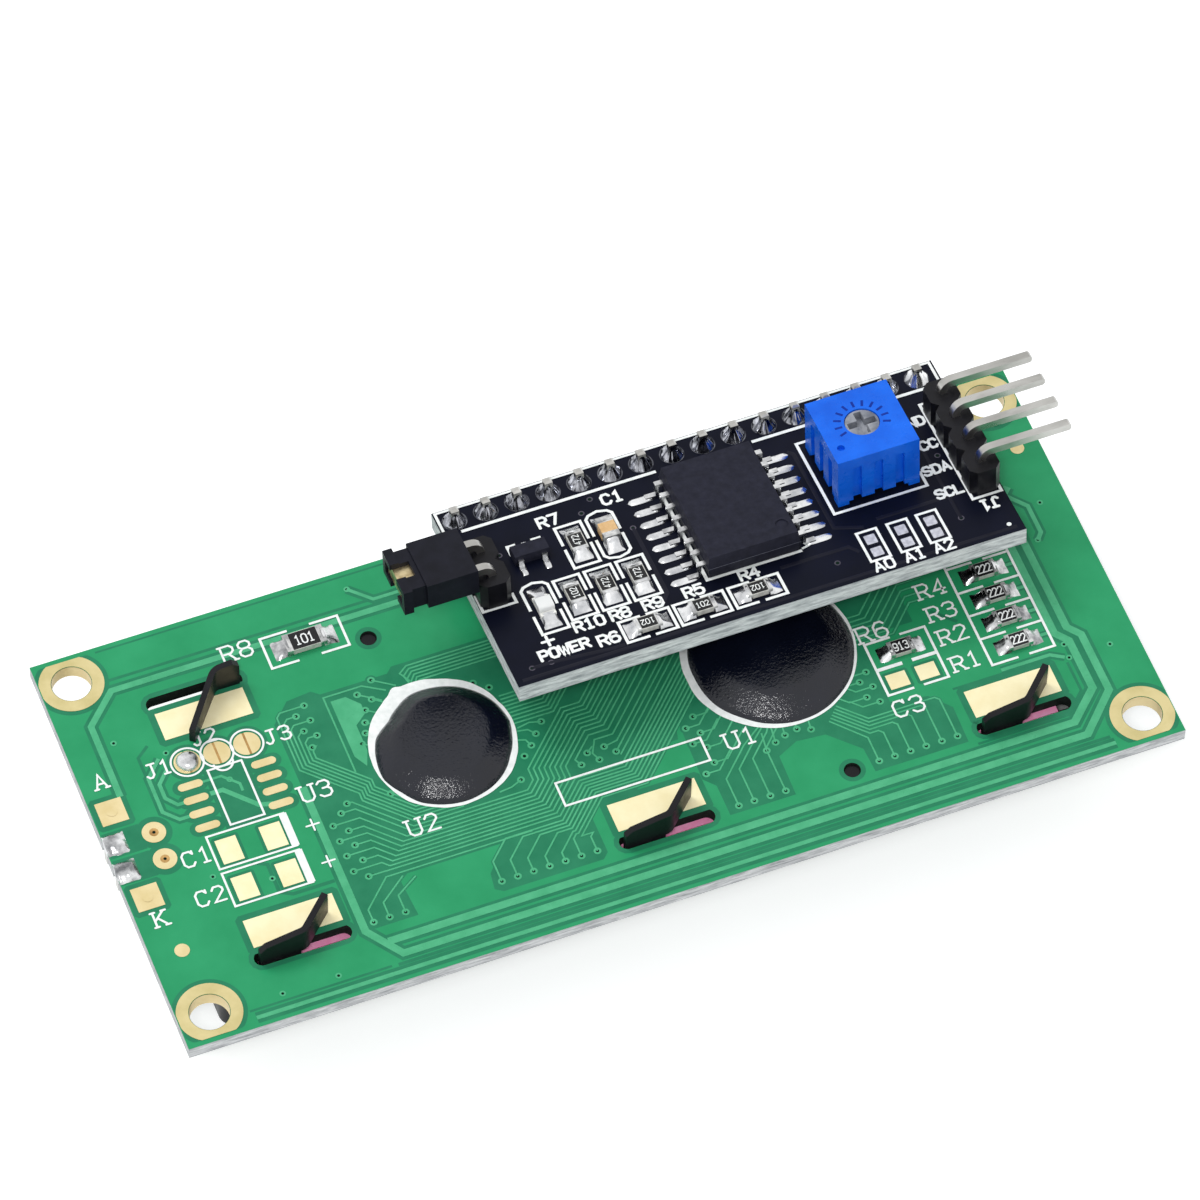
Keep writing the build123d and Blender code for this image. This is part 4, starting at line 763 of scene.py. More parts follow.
# Tracks at the resistor ladder and the right end
trace([(29.0, -8.1), (33.0, -8.1), (34.0, -8.7)], 0.3, 0.7)
for y in (-6.2, -3.85, -1.6, 0.7):
    trace([(32.6, y), (33.9, y)], 0.28, 0.6)
trace([(35.6, 6.6), (36.8, 5.2), (36.8, 2.6), (36.3, 2.0)], 0.35, 0.8)
channel.ribbon([(24.9, -8.4), (33.2, -8.4)], 0.2)
channel.ribbon([(26.0, -1.2), (27.6, -2.8)], 0.3)
for x, y in [(-31.9, -15.9), (-27.5, -15.9), (-33.3, -4.5), (-36.3, 9.3), (34.4, -7.6), (34.3, -8.85),
             (37.7, -8.8), (37.8, 5.16), (36.3, 2.0), (-15.0, 16.3), (-32.9, 7.1), (-29.2, 3.2),
             (-29.2, -6.2), (-22.3, -14.4)]:
    via(x, y, 0.2, halo=False)

# Gold pads: mounting holes, tab fields, backlight terminals, empty places, links and header row
BOX = (-39.93, -17.6, 39.93, 17.6)
for x, y in CORNERS:
    channel.ring(x, y, 2.85, 1.7, 56, box=BOX, h=0.001)
    rings.ring(x, y, 2.5, 1.57, 56, box=BOX)
for y, slot_y in zip((-10.2, 9.42), SLOT_YS):
    for x in TAB_XS:
        channel.grow(x - 3.5, y - 1.25, x + 3.55, y + 1.25, 0.52, 0.001)
        fields.rect(x - 3.5, y - 1.25, x + 3.55, y + 1.25)
        channel.ribbon([turned(x + end * 3.2, slot_y, end * 0.87, 0, t) for end in (1, -1)
                        for t in range(-90, 91, 30)], 0.36, closed=True)
for y in (3.56, -4.49):
    channel.grow(-39.5, y - 1.06, -37.42, y + 1.06, 0.42, 0.001)
    pads.rect(-39.5, y - 1.06, -37.42, y + 1.06)
    pads.disc(-38.45, y, 0.42, h=0.03)
for y in TERMINAL_YS:
    channel.disc(TERMINAL_X, y, 1.4, 32, 0.001)
    pads.ring(TERMINAL_X, y, 0.92, 0.36, 36)
    bores.disc(TERMINAL_X, y, 0.37, 24)
    pits.disc(TERMINAL_X, y, 0.13, 12, 0.011)
    channel.ribbon([(-39.9, y), (-37.0, y)], 2.3)
for x, y, r in ((-37.6, -9.76, 0.58), (38.15, 10.5, 0.55)):
    pads.disc(x, y, r, 28)
for x in (-32.15, -26.3):
    for y in (3.72, 2.43, 1.15, -0.16):
        channel.oval(x - 1.4, y - 0.66, x + 1.4, y + 0.66, 0.001)
        pads.oval(x - 0.98, y - 0.33, x + 0.98, y + 0.33)
for x0, x1, y0, y1 in ((-32.15, -30.5, -3.8, -1.6), (-28.66, -27.0, -3.8, -1.6), (-32.15, -30.5, -7.25, -5.1),
                       (-28.66, -27.0, -7.25, -5.1), (20.5, 22.1, -6.86, -5.5), (22.9, 24.5, -6.86, -5.5)):
    channel.grow(x0, y0, x1, y1, 0.25, 0.001)
    fields.rect(x0, y0, x1, y1)
for x in LINK_XS:
    channel.disc(x, LINK_Y, 1.6, 32, 0.001)
    bores.rect(x - 0.1, LINK_Y - 0.98, x + 0.1, LINK_Y + 0.98)
    for side in (-1, 1):
        bow = [turned(0, 0, 1, 0, degrees) for degrees in range(-84, 85, 12)]
        half = [(x + side * (0.09 + 0.95 * out), LINK_Y + rise) for out, rise in [(0, -1)] + bow + [(0, 1)]]
        pads.area(half if side > 0 else half[::-1])
for x in HEADER_XS:
    pads.ring(x, ROW_Y, 0.9, 0.56, 28)
for x, y in ((-15.0, SLOT_YS[1]), (15.0, SLOT_YS[0])):
    channel.ring(x, y, 1.02, 0.655, 32)

# Legend of the display board
THIN, LINE, BOLD = 0.17, 0.2, 0.24


def wide_box(layer, x0, y0, x1, y1, gap, weight):
    """Legend box with a gap in its two longer sides, which run along x."""
    for x, near in ((x0, gap[0]), (x1, gap[1])):
        layer.ribbon([(near, y1), (x, y1), (x, y0), (near, y0)], weight)


ink.ribbon([(-30.5, 4.5), (-30.5, -0.65), (-27.8, -0.65), (-27.8, 4.5)], THIN, closed=True)
ink.ring(-29.15, 4.85, 0.85, 0.68, 20, 180, 180, h=0.002)
for x in LINK_XS:
    ink.ring(x, LINK_Y, 1.33, 1.17)
for top in (-1.05, -4.5):
    ink.ribbon([(-32.6, top), (-32.6, top - 3.05), (-26.45, top - 3.05), (-26.45, top)], THIN, closed=True)
    ink.rect(-26.85, top - 3.05, -26.25, top, 0.002)
    letters(ink, "+", -24.75, top - 1.75, 1.25, 0.15)
for word, x, y, height in (("C1", -33.85, -2.45, 1.3), ("C2", -34.05, -6.05, 1.3), ("A", -38.4, 6.4, 1.26),
                           ("K", -38.2, -6.6, 1.3), ("J1", -33.95, 5.95, 1.2), ("J2", -29.75, 7.45, 1.1),
                           ("J3", -24.5, 5.7, 1.2), ("U3", -23.5, -0.05, 1.4), ("R8", -24.8, 13.9, 1.4),
                           ("U2", -17.0, -5.7, 1.4), ("U1", 8.15, -6.85, 1.4), ("R6", 21.1, -1.45, 1.4),
                           ("C3", 21.15, -8.65, 1.4), ("R1", 26.8, -6.4, 1.3), ("R2", 26.8, -3.8, 1.3),
                           ("R3", 26.8, -1.55, 1.3), ("R4", 26.8, 0.65, 1.3), ("R5", 26.8, 2.95, 1.3)):
    letters(ink, word, x, y, height, THIN, feet=word[0] != "J")
wide_box(ink, -22.8, 11.45, -16.55, 14.3, (-20.6, -18.8), LINE)
wide_box(ink, 20.1, -4.8, 25.05, -2.35, (22.2, 23.0), LINE)
wide_box(ink, 20.1, -7.25, 25.05, -4.9, (22.2, 23.0), LINE)
for x in (28.55, 33.7):
    ink.ribbon([(x, -7.46), (x, 4.2)], LINE)
for y in (-7.46, -4.97, -2.72, -0.5, 1.85, 4.2):
    ink.ribbon([(28.45, y), (30.7, y)], LINE, h=0.001)
    ink.ribbon([(31.6, y), (33.8, y)], LINE, h=0.001)

# Reach of the printed rings and of the resin inside them, by angle, as seen in the photograph
RING_U1 = [(0, 6.8), (30, 6.75), (90, 6.8), (150, 6.7), (180, 6.72), (198, 6.9), (225, 6.94), (265, 7.0),
           (299, 6.93), (338, 6.81)]
RING_U2 = [(2, 5.62), (20, 5.54), (38, 5.68), (54, 5.71), (70, 5.64), (82, 5.76), (97, 5.85), (103, 5.92),
           (107, 6.18), (110, 6.1), (115, 5.82), (125, 5.73), (143, 5.67), (175, 5.67), (191, 5.73),
           (207, 5.79), (223, 5.94), (255, 5.92), (282, 5.82), (312, 5.85), (341, 5.64)]
FOOT_U1 = [(0, 6.62), (30, 6.5), (90, 6.3), (150, 6.12), (181, 6.16), (199, 6.28), (212, 6.38), (234, 6.49),
           (247, 6.6), (265, 6.75), (282, 6.8), (300, 6.73), (338, 6.66)]
FOOT_U2 = [(0, 5.42), (20, 5.32), (41, 5.2), (70, 5.0), (101, 4.9), (119, 4.68), (136, 4.52), (146, 4.75),
           (157, 5.08), (181, 5.36), (197, 5.64), (216, 5.58), (233, 5.75), (251, 5.68), (267, 5.65),
           (287, 5.56), (306, 5.45), (325, 5.26), (347, 5.3)]


def reach_at(table, degrees):
    """Radius of a measured outline at any angle."""
    points = [(table[-1][0] - 360, table[-1][1])] + table + [(table[0][0] + 360, table[0][1])]
    degrees %= 360
    for (a0, r0), (a1, r1) in zip(points, points[1:]):
        if a0 <= degrees <= a1:
            s = (degrees - a0) / (a1 - a0)
            return r0 + (r1 - r0) * s
    return table[0][1]


def poured_ring(x, y, table, width, seed):
    """White ring printed round a poured dome."""
    pts = []
    for degrees in range(0, 360, 2):
        c, s = turned(0, 0, 6, 0, degrees)
        out = reach_at(table, degrees) + 0.045 * noise.noise(Vector((c, s, seed)))
        pts += [(*turned(x, y, r, 0, degrees), 0.0) for r in (out - width, out)]
    ink.add(pts, [[2 * i, 2 * i + 1, (2 * i + 3) % 360, (2 * i + 2) % 360] for i in range(180)])


poured_ring(*DOME_U1, RING_U1, 0.9, 2.2)
poured_ring(*DOME_U2, RING_U2, 1.7, 5.1)
ink.ribbon([(-6.4, -7.9), (5.3, -7.9), (5.3, -5.75), (-6.4, -5.75)], 0.18, closed=True)

# Plating inside the mounting holes and the backlight's holes
walls = Layer("display_plating", on_display, "gold", "gold_metal", smooth=True)
for x, y, r, n in [(x, y, 1.53, 40) for x, y in CORNERS] + [(TERMINAL_X, y, 0.335, 24) for y in TERMINAL_YS]:
    walls.grid([[(*turned(x, y, r, 0, 360 * i / n), h) for i in range(n + 1)] for h in (0.0, FRONT_Z)])

# Display board, front face
front_pads = Layer("front_pads", on_front, "gold", "gold_metal", PAD_H)
front_ink = Layer("front_legend", on_front, "silk", "board_green", INK_H)
front_channel = Layer("front_channels", on_front, "channel", "board_green", CHANNEL_H)
front_track = Layer("front_tracks", on_front, "track", "board_green", TRACK_H)
FRONT_ROW_Y = ROW_Y - 0.16
for x, y in CORNERS:
    front_pads.ring(x, y, 2.5, 1.57, 56, box=BOX)
for x in HEADER_XS:
    front_channel.grow(x - 0.8, 14.7, x + 0.8, 17.8, 0.14)
    front_pads.ring(x, FRONT_ROW_Y, 0.86, 0.5, 28)
    front_pads.area([(x - 0.84, FRONT_ROW_Y + 0.3), (x - 0.84, 17.85), (x + 0.84, 17.85),
                     (x + 0.84, FRONT_ROW_Y + 0.3), (x + 0.6, FRONT_ROW_Y + 0.62), (x, FRONT_ROW_Y + 0.84),
                     (x - 0.6, FRONT_ROW_Y + 0.62)])
    front_channel.ribbon([(x, 14.9), (x, 12.9)], 0.5)
    front_track.ribbon([(x, 14.9), (x, 12.9)], 0.22, TRACE_RISE)
for y, dark in ((-14.4, 1.1), (-15.8, 1.0), (-17.2, 0.8)):
    front_channel.ribbon([(-33.0, y), (34.0, y)], dark)
    front_track.ribbon([(-33.0, y), (34.0, y)], dark * 0.5, TRACE_RISE)
for x in (-38.6, 37.0):
    front_channel.ribbon([(x, -12.0), (x, 12.0)], 0.3)


class Mirrored:
    """Passes lettering to a front-face layer so that it reads from that side."""

    def __init__(self, layer):
        self.layer = layer

    def stroke(self, path, width, h=0.0):
        self.layer.stroke([(-x, y) for x, y in path], width, h)


seen = Mirrored(front_ink)
NAMES = ["VSS", "VDD", "V0", "RS", "RW", "E", "D0", "D1", "D2", "D3", "D4", "D5", "D6", "D7", "A", "K"]
for word, x in zip(NAMES, HEADER_XS[::-1]):
    letters(seen, word, -x, 13.9, 0.72, 0.1, gap=1.6)
letters(seen, "1", -(HEADER_XS[15] + 2.3), ROW_Y, 1.2, 0.16)
letters(seen, "16", -(HEADER_XS[0] - 2.6), ROW_Y, 1.2, 0.16)

# Adapter board
a_ink = Layer("adapter_legend", on_adapter, "silk", "board_black", INK_H)
a_vias = Layer("adapter_vias", on_adapter, "via_dim", "board_black", 0.016)
# Dark discs in the adapter's via holes: painted shade
a_pits = Layer("adapter_via_holes", on_adapter, "hole", "board_black", 0.014)
relief = Layer("adapter_tracks", on_adapter, "faint", "board_black", 0.006)


def tall_box(u0, v0, u1, v1, gap, bowed_top=False, bowed_base=False):
    """Legend box with a gap in its two longer sides, which run along v; its ends may be bowed."""
    for v, near, out, bowed in ((v1, gap[1], 1, bowed_top), (v0, gap[0], -1, bowed_base)):
        end = [(u0, v), (u1, v)]
        if bowed:
            end = [(u0, v - 0.45 * out), (u0 + 0.3, v - 0.12 * out), ((u0 + u1) / 2, v + 0.08 * out),
                   (u1 - 0.3, v - 0.12 * out), (u1, v - 0.45 * out)]
        a_ink.ribbon([(u0, near)] + end + [(u1, near)], BOLD)


a_ink.ribbon([(-6.0, -1.21), (9.9, -1.21)], 0.28)
a_ink.ribbon([(17.8, -1.21), (32.3, -1.21)], 0.28)
a_ink.ribbon([(-7.28, -1.3), (-7.28, 1.22), (33.5, 1.22), (33.5, -1.3)], 0.22)
tall_box(0.62, -8.05, 2.7, -3.7, (-6.0, -5.6))
for u0, u1 in ((-1.4, 0.68), (1.12, 3.25), (3.7, 5.85)):
    tall_box(u0, -12.85, u1, -8.65, (-10.9, -10.4))
for u0, u1, gap in ((1.66, 5.7, (3.45, 3.9)), (6.1, 10.1, (7.85, 8.3)), (10.55, 14.6, (12.3, 12.8))):
    wide_box(a_ink, u0, -14.4, u1, -16.55, gap, BOLD)
tall_box(3.15, -8.2, 5.28, -3.35, (-6.0, -5.6), bowed_top=True, bowed_base=True)
tall_box(-4.0, -13.35, -1.85, -8.25, (-11.4, -10.8), bowed_top=True)
for path, weight in (([(-3.36, -5.0), (-3.36, -4.05), (-2.7, -4.05)], BOLD),
                     ([(-1.45, -4.05), (-0.75, -4.05), (-0.75, -4.7)], BOLD),
                     ([(-7.34, -7.7), (-7.34, -9.5), (-4.65, -9.5), (-4.65, -8.5)], BOLD),
                     ([(9.45, -3.4), (9.45, -13.0), (17.2, -13.0)], 0.28),
                     ([(17.25, -12.85), (18.0, -12.65)], LINE),
                     ([(22.0, -2.75), (20.85, -2.75), (20.85, -10.55), (28.5, -10.55), (28.5, -9.0)], BOLD),
                     ([(31.7, -2.65), (31.15, -2.65), (31.15, -13.2), (33.52, -13.2), (33.52, -12.4)], BOLD)):
    a_ink.ribbon(path, weight)
for i, u in enumerate((21.6, 24.1, 26.5)):
    a_ink.ribbon([(u, -16.1), (u, -13.05), (u + 1.6, -13.05), (u + 1.6, -16.1)], 0.22, closed=True)
    letters(a_ink, f"A{i}", u + 0.8, -16.72, 0.95, 0.22, gap=1.6)
a_ink.disc(32.7, -16.6, 0.19, 16)
for word, u, v, height, gap in (("R7", 0.46, -2.75, 1.0, 1.5), ("C1", 5.8, -2.4, 1.0, 1.5),
                                ("R10", -0.35, -13.6, 0.95, 1.4), ("R8", 2.15, -13.6, 0.95, 1.4),
                                ("R9", 4.8, -13.6, 0.95, 1.4), ("R5", 8.1, -13.6, 0.95, 1.4),
                                ("R4", 12.6, -13.6, 0.95, 1.4), ("R6", 0.46, -15.6, 1.0, 1.4),
                                ("+", -3.86, -14.05, 1.15, 1.4)):
    letters(a_ink, word, u, v, height, BOLD, gap=gap)
letters(a_ink, "POWER", -3.0, -15.3, 0.92, 0.25, gap=1.35)
for word, v in (("GND", -4.14), ("VCC", -6.68), ("SDA", -9.22), ("SCL", -11.76)):
    letters(a_ink, word, 30.85, v, 0.86, BOLD, gap=1.35, align=1.0)
letters(a_ink, "J1", 32.2, -14.1, 0.95, BOLD, turn=180, gap=1.4)
for u, v in [(-5.9, -16.1), (-4.36, -16.1), (-4.2, -4.6), (3.1, -3.0), (4.2, -1.9), (6.2, -5.9),
             (19.2, -15.2), (29.6, -14.6), (30.4, -8.0)]:
    a_vias.ring(u, v, 0.25, 0.15, 18)
    a_pits.disc(u, v, 0.16, 14)
for path in ([(-5.9, -16.1), (-4.36, -16.1), (0.4, -16.6), (1.4, -16.6)],
             [(6.2, -5.9), (6.2, -13.0), (5.4, -14.0)],
             [(19.9, -3.2), (20.3, -3.6), (20.3, -11.8), (22.4, -12.6)],
             [(28.9, -4.0), (29.6, -5.0), (29.6, -14.6)],
             [(15.0, -14.0), (20.6, -14.0), (21.2, -14.8)],
             [(-7.0, -17.0), (33.2, -17.0)],
             [(23.6, -12.2), (30.4, -12.2), (30.9, -11.8)]):
    relief.ribbon(path, 0.34, 0.014)

# Solder
bright = Layer("chip_solder", on_display, "solder", "solder", smooth=True)
a_bright = Layer("adapter_chip_solder", on_adapter, "solder_smooth", "solder", smooth=True)


def fillet(layer, x, y, turn, start, reach, width, height, seed):
    """Solder that climbs the end of a chip part, out from start along the turned axis."""
    rows = []
    for i in range(9):
        s = i / 8
        row = []
        for k in range(9):
            t = k / 4 - 1
            lump = 1 + 0.22 * noise.noise(Vector((s * 2.1 + seed, t * 1.7, seed * 3.3)))
            z = height * (1 - s) ** 1.35 * (1 - abs(t) ** 4 * 0.5) * lump
            z += 0.1 * (1 - s ** 3) * (1 - abs(t) ** 3) + 0.02
            if k in (0, 8) or i == 8:
                z = 0.004
            along = start + (reach - start) * s - (0.12 if i == 0 else 0)
            across = t * width / 2 * (1 + 0.06 * math.sin(s * 5 + seed))
            row.append((*turned(x, y, along, across, turn), z))
        rows.append(row)
    layer.grid(rows)


def blob(layer, x0, y0, x1, y1, height, seed):
    """Reflowed solder on a bar-shaped pad."""
    n, m = 12, 8
    rows = []
    for i in range(n + 1):
        s = 2 * i / n - 1
        row = []
        for k in range(m + 1):
            t = 2 * k / m - 1
            edge = max(0.0, 1 - abs(s) ** 5)
            half = (y1 - y0) / 2 * edge ** 0.45
            z = height * edge ** 0.5 * (1 - t * t) ** 0.5
            z *= 1 + 0.3 * noise.noise(Vector((s * 1.6 + seed, t, seed)))
            row.append(((x0 + x1) / 2 + s * (x1 - x0) / 2, (y0 + y1) / 2 + t * half, z + 0.006))
        rows.append(row)
    layer.grid(rows)


CODE_H = 0.526
codes = Layer("value_codes", on_display, "silk", "chip_black", CODE_H)
a_codes = Layer("adapter_value_codes", on_adapter, "silk", "chip_black", CODE_H)
RESISTORS = [(31.2, -6.2), (31.2, -3.85), (31.2, -1.6), (31.2, 0.7), (31.2, 3.0), (22.55, -3.65)]
LARGE_RESISTOR = (-19.7, 12.85)
for i, (x, y) in enumerate(RESISTORS):
    for side, seed in ((0, i), (180, i + 0.5)):
        fillet(bright, x, y, side, 0.9, 1.85, 1.35, 0.5, seed)
    letters(codes, "222" if i < 5 else "913", x, y, 0.68, 0.1, gap=1.2, wide=0.72)
for side, seed in ((0, 9.1), (180, 9.7)):
    fillet(bright, *LARGE_RESISTOR, side, 1.5, 2.55, 1.7, 0.6, seed)
letters(codes, "101", *LARGE_RESISTOR, 0.8, 0.11, h=0.1, gap=1.3, wide=0.75)
# Each row: number, place, turn of the part, turn of its code, code
A_RESISTORS = [(4, 12.57, -15.5, 0, 180, "102"), (5, 8.1, -15.5, 0, 0, "102"),
               (6, 3.65, -15.5, 0, 180, "102"), (7, 1.65, -5.8, 90, 90, "472"),
               (8, 2.17, -10.7, 90, 90, "472"), (9, 4.75, -10.7, 90, 90, "472"),
               (10, -0.38, -10.7, 90, 90, "102")]
for i, (_, u, v, turn, code_turn, code) in enumerate(A_RESISTORS):
    for side in (0, 180):
        fillet(a_bright, u, v, turn + side, 0.9, 1.78, 1.45, 0.5, i + side * 0.01)
    letters(a_codes, code, u, v, 0.5, 0.07, turn=code_turn, gap=1.5, wide=0.8)
for side in (0, 180):
    fillet(a_bright, *CAPACITOR, 90 + side, 0.95, 1.95, 1.4, 0.8, 3.3 + side)
    fillet(a_bright, *POWER_LAMP, 90 + side, 0.92, 2.1, 1.35, 0.3, 5.3 + side)
for u in (-3.0, -1.1):
    blob(a_bright, u - 0.28, -7.25, u + 0.28, -6.3, 0.14, u)
blob(a_bright, -2.35, -4.7, -1.75, -4.0, 0.14, 2.0)
for i in range(8):
    v = CHIP[1] + (i - 3.5) * PITCH / 2
    blob(a_bright, 6.7, v - 0.33, 8.95, v + 0.33, 0.17, i)
    blob(a_bright, 17.65, v - 0.33, 19.9, v + 0.33, 0.17, i + 20)
flats = Layer("address_pads", on_adapter, "solder_flat", "solder", 0.045)
for u in (21.98, 24.48, 26.88):
    for v0, v1 in ((-14.45, -13.5), (-15.75, -14.85)):
        relief.rect(u - 0.1, v0 - 0.12, u + 1.02, v1 + 0.1, 0.014)
        flats.grow(u + 0.1, v0 + 0.1, u + 0.78, v1 - 0.1, 0.1)

# Joints round the pins
rims = Layer("adapter_joint_rims", on_adapter, "solder_dim", "solder", 0.024)
joint = Layer("adapter_pin_solder", on_adapter, "solder_dark", "solder", smooth=True)
under = Layer("under_pin_solder", under_adapter, "solder", "solder", smooth=True)
tail = Layer("display_pin_solder", on_front, "solder", "solder", smooth=True)


def cone(layer, x, y, foot, neck, height, seed, ridge=0.0, n=28):
    """Concave solder joint whose outline and slope vary a little, with flow ridges from the pin down."""
    rows = []
    for i in range(11):
        s = i / 10
        r = neck + (foot - neck) * (1 - s) ** 1.7
        row = []
        for k in range(n + 1):
            degrees = 360 * (k % n) / n
            w = 1 + 0.07 * (1 - s) * noise.noise(Vector((*turned(seed, 0, 1.4, 0, degrees), s * 2)))
            flow = noise.noise(Vector((*turned(0, 0, 4.5, 0, degrees), seed * 1.9)))
            w += ridge * flow * math.sin(math.pi * min(1.0, s * 1.3)) ** 0.6
            row.append((*turned(x, y, r * w, 0, degrees), 0.004 + height * s ** 0.8))
        rows.append(row)
    layer.grid(rows)


for i, x in enumerate(HEADER_XS):
    rims.ring(x, 0.0, 0.98, 0.8, 32)
    # Fifteen joints take solder painted dark with light streaks, painted shade and reflections; the last
    # takes the bright solder, a painted highlight
    if i < 15:
        cone(joint, x, 0.0, 0.93, 0.36, 1.08, i * 3.7, 0.3, 44)
    else:
        cone(a_bright, x, 0.0, 0.98, 0.36, 1.08, i * 3.7, 0.12, 44)
    cone(tail, x, FRONT_ROW_Y, 0.86, 0.38, 0.85, i * 2.9)
A_PINS = [(BUS_HEADER[0], BUS_HEADER[1] + (i - 1.5) * PITCH) for i in range(4)]
A_PINS += [(JUMPER_HEADER[0], JUMPER_HEADER[1] + (i - 0.5) * PITCH) for i in range(2)]
A_PINS += [(TRIMMER[0] + across * PITCH, TRIMMER[1] + down * PITCH / 2) for across, down in
           ((-1, 1), (1, 1), (0, -1))]
for i, (u, v) in enumerate(A_PINS):
    cone(under, u, v, 0.9, 0.36, 0.58, i * 2.3 + 60)

# Rough lumps over the backlight notches
lumps = Layer("edge_lumps", on_display, "solder", "solder", smooth=True)
for j, (y0, y1) in enumerate(((-0.2, 1.7), (-2.75, -0.85))):
    rows = []
    for i in range(15):
        s = i / 14
        row = []
        for k in range(15):
            t = k / 14
            x = -39.98 + 1.7 * s
            yy = y0 + (y1 - y0) * t
            edge = (1 - abs(2 * t - 1) ** 4) * (1 - s ** 5)
            z = 0.52 * edge * (0.75 + 0.55 * noise.noise(Vector((x * 1.7 + 9 * j, yy * 1.9, 4.2))))
            row.append((x, yy + 0.12 * noise.noise(Vector((s * 3, t * 3, j))), max(z, 0.004)))
        rows.append(row)
    first = [(p[0], p[1], -0.6 if 2 < k < 12 else 0.0) for k, p in enumerate(rows[0])]
    lumps.grid([first] + rows)

# Ball that bridges the link pad
ball = Layer("link_ball", on_display, "solder", "solder", smooth=True)
rows = []
for i in range(13):
    rise = i / 12 * math.pi / 2
    row = []
    for k in range(33):
        degrees = 360 * (k % 32) / 32
        r = 0.88 * math.cos(rise) ** 0.7 * (1 + 0.03 * math.sin(3 * math.radians(degrees)))
        row.append((*turned(LINK_XS[0], LINK_Y, r, 0, degrees), 0.02 + 0.62 * math.sin(rise)))
    rows.append(row)
ball.grid(rows)


# Poured resin over the two drivers
def resin_slope(u):
    """Slope of a resin pillow at u of its reach: level top, even shoulder, steep rim."""
    t = min(1.0, max(0.0, (u - 0.62) / 0.14))
    return 0.14 * u * u + 0.5 * t * t * (3 - 2 * t) + 1.1 * max(0.0, (u - 0.91) / 0.09) ** 1.4


RESIN_STEPS = 400
fall = [0.0]
for i in range(RESIN_STEPS):
    fall.append(fall[-1] + resin_slope((i + 0.5) / RESIN_STEPS))
RESIN_HEIGHT = [1.3 * (1 - f / fall[-1]) for f in fall]


def resin(name, node, x, y, foot, seed):
    """Pillow of resin: broad top, gentle shoulder, irregular foot."""
    layer = Layer(name, on_display, "resin", "resin_black", smooth=True)
    rows = []
    for i in range(51):
        step = round(math.cos(math.pi / 2 * (i / 50) ** 1.15) * RESIN_STEPS)
        row = []
        for degrees in [3 * k for k in range(120)] + [0]:
            c, s = turned(seed, 0, 3.1, 0, degrees)
            reach = reach_at(foot, degrees) + 0.05 * noise.noise(Vector((c, s, seed)))
            px, py = turned(x, y, reach * step / RESIN_STEPS, 0, degrees)
            swell = 0.07 * noise.noise(Vector((px * 0.34 + seed, py * 0.34, 1.1)))
            row.append((px, py, RESIN_HEIGHT[step] * (1 + swell)))
        rows.append(row)
    layer.grid(rows)
    obj = layer.make()
    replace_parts(obj, node)


resin("resin_u1", "driver_dome_u1", *DOME_U1, FOOT_U1, 3.0)
resin("resin_u2", "driver_dome_u2", *DOME_U2, FOOT_U2, 8.0)

# Moulding seam of the expander chip: a lighter band round the body where its two drafts meet, a painted
# highlight
seam = Layer("package_seams", on_adapter, "seam", "package_black")
SQUARE = ((-1, -1), (1, -1), (1, 1), (-1, 1))
seam.add([(CHIP[0] + a * CHIP_HALF[0], CHIP[1] + b * CHIP_HALF[1], h) for a, b in SQUARE for h in CHIP_SEAM],
         [[0, 2, 3, 1], [2, 4, 5, 3], [4, 6, 7, 5], [6, 0, 1, 7]])

# Marks round the trimmer's rotor
marks = Layer("trimmer_marks", on_adapter, "blue_mark", "trimmer_blue", TRIMMER_TOP + 0.008)
for degrees in range(-20, 201, 22):
    marks.ribbon([turned(*TRIMMER, r, 0, degrees) for r in (1.6, 2.2)], LINE)

for layer in (channel, track, pads, fields, rings, bores, flats, rims, seam, ink, pits, walls, front_pads,
              front_ink, front_channel, front_track, a_ink, a_vias, a_pits, relief, bright, a_bright, codes,
              a_codes, marks):
    layer.make()
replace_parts(joint.make(), "header_solder_adapter")
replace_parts(under.make(), "underside_solder")
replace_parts(tail.make(), "header_solder_display")
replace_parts(lumps.make(), "edge_solder")
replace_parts(ball.make(), "link_solder_ball")

# Finishes of the CAD nodes
PAINT = {
    "display_board": ["lcd_board"],
    "adapter_board": ["adapter_board"],
    "bezel": ["bezel"],
    "blue_film": ["front_polariser"],
    "grey_film": ["rear_polariser"],
    "glass": ["front_glass", "rear_glass"],
    "white": ["diffuser_film", "backlight_tray"],
    "guide": ["light_guide"],
    "lamp_board": ["lamp_board"],
    "pink": ["contact_strip_lower", "contact_strip_upper"],
    "header": ["header_housing", "bus_header_housing", "jumper_header_housing"],
    "tin": ["header_pins", "bus_header_pins", "jumper_header_pins", "lamp_leads", "trimmer_pins"],
    "cap": ["jumper_cap"],
    "brass": ["jumper_clip", "trimmer_wiper"],
    "package": ["expander_chip_body", "transistor_body"],
    "lead_tin": ["expander_chip_leads", "transistor_leads"],
    "blue": ["trimmer_body"],
    "rotor": ["trimmer_rotor"],
    "ceramic": ["trimmer_substrate", "power_lamp_base"],
    "lens": ["power_lamp_lens"],
}
for key, nodes in PAINT.items():
    for node in nodes:
        paint(node, M[key])


def glaze(node, name, centre, axis, up, *finish):
    """Tinned ends and a coloured middle for one chip part."""
    paint(node, chip_ends(name + "_glaze", tuple(centre), tuple(axis), tuple(up), *finish))


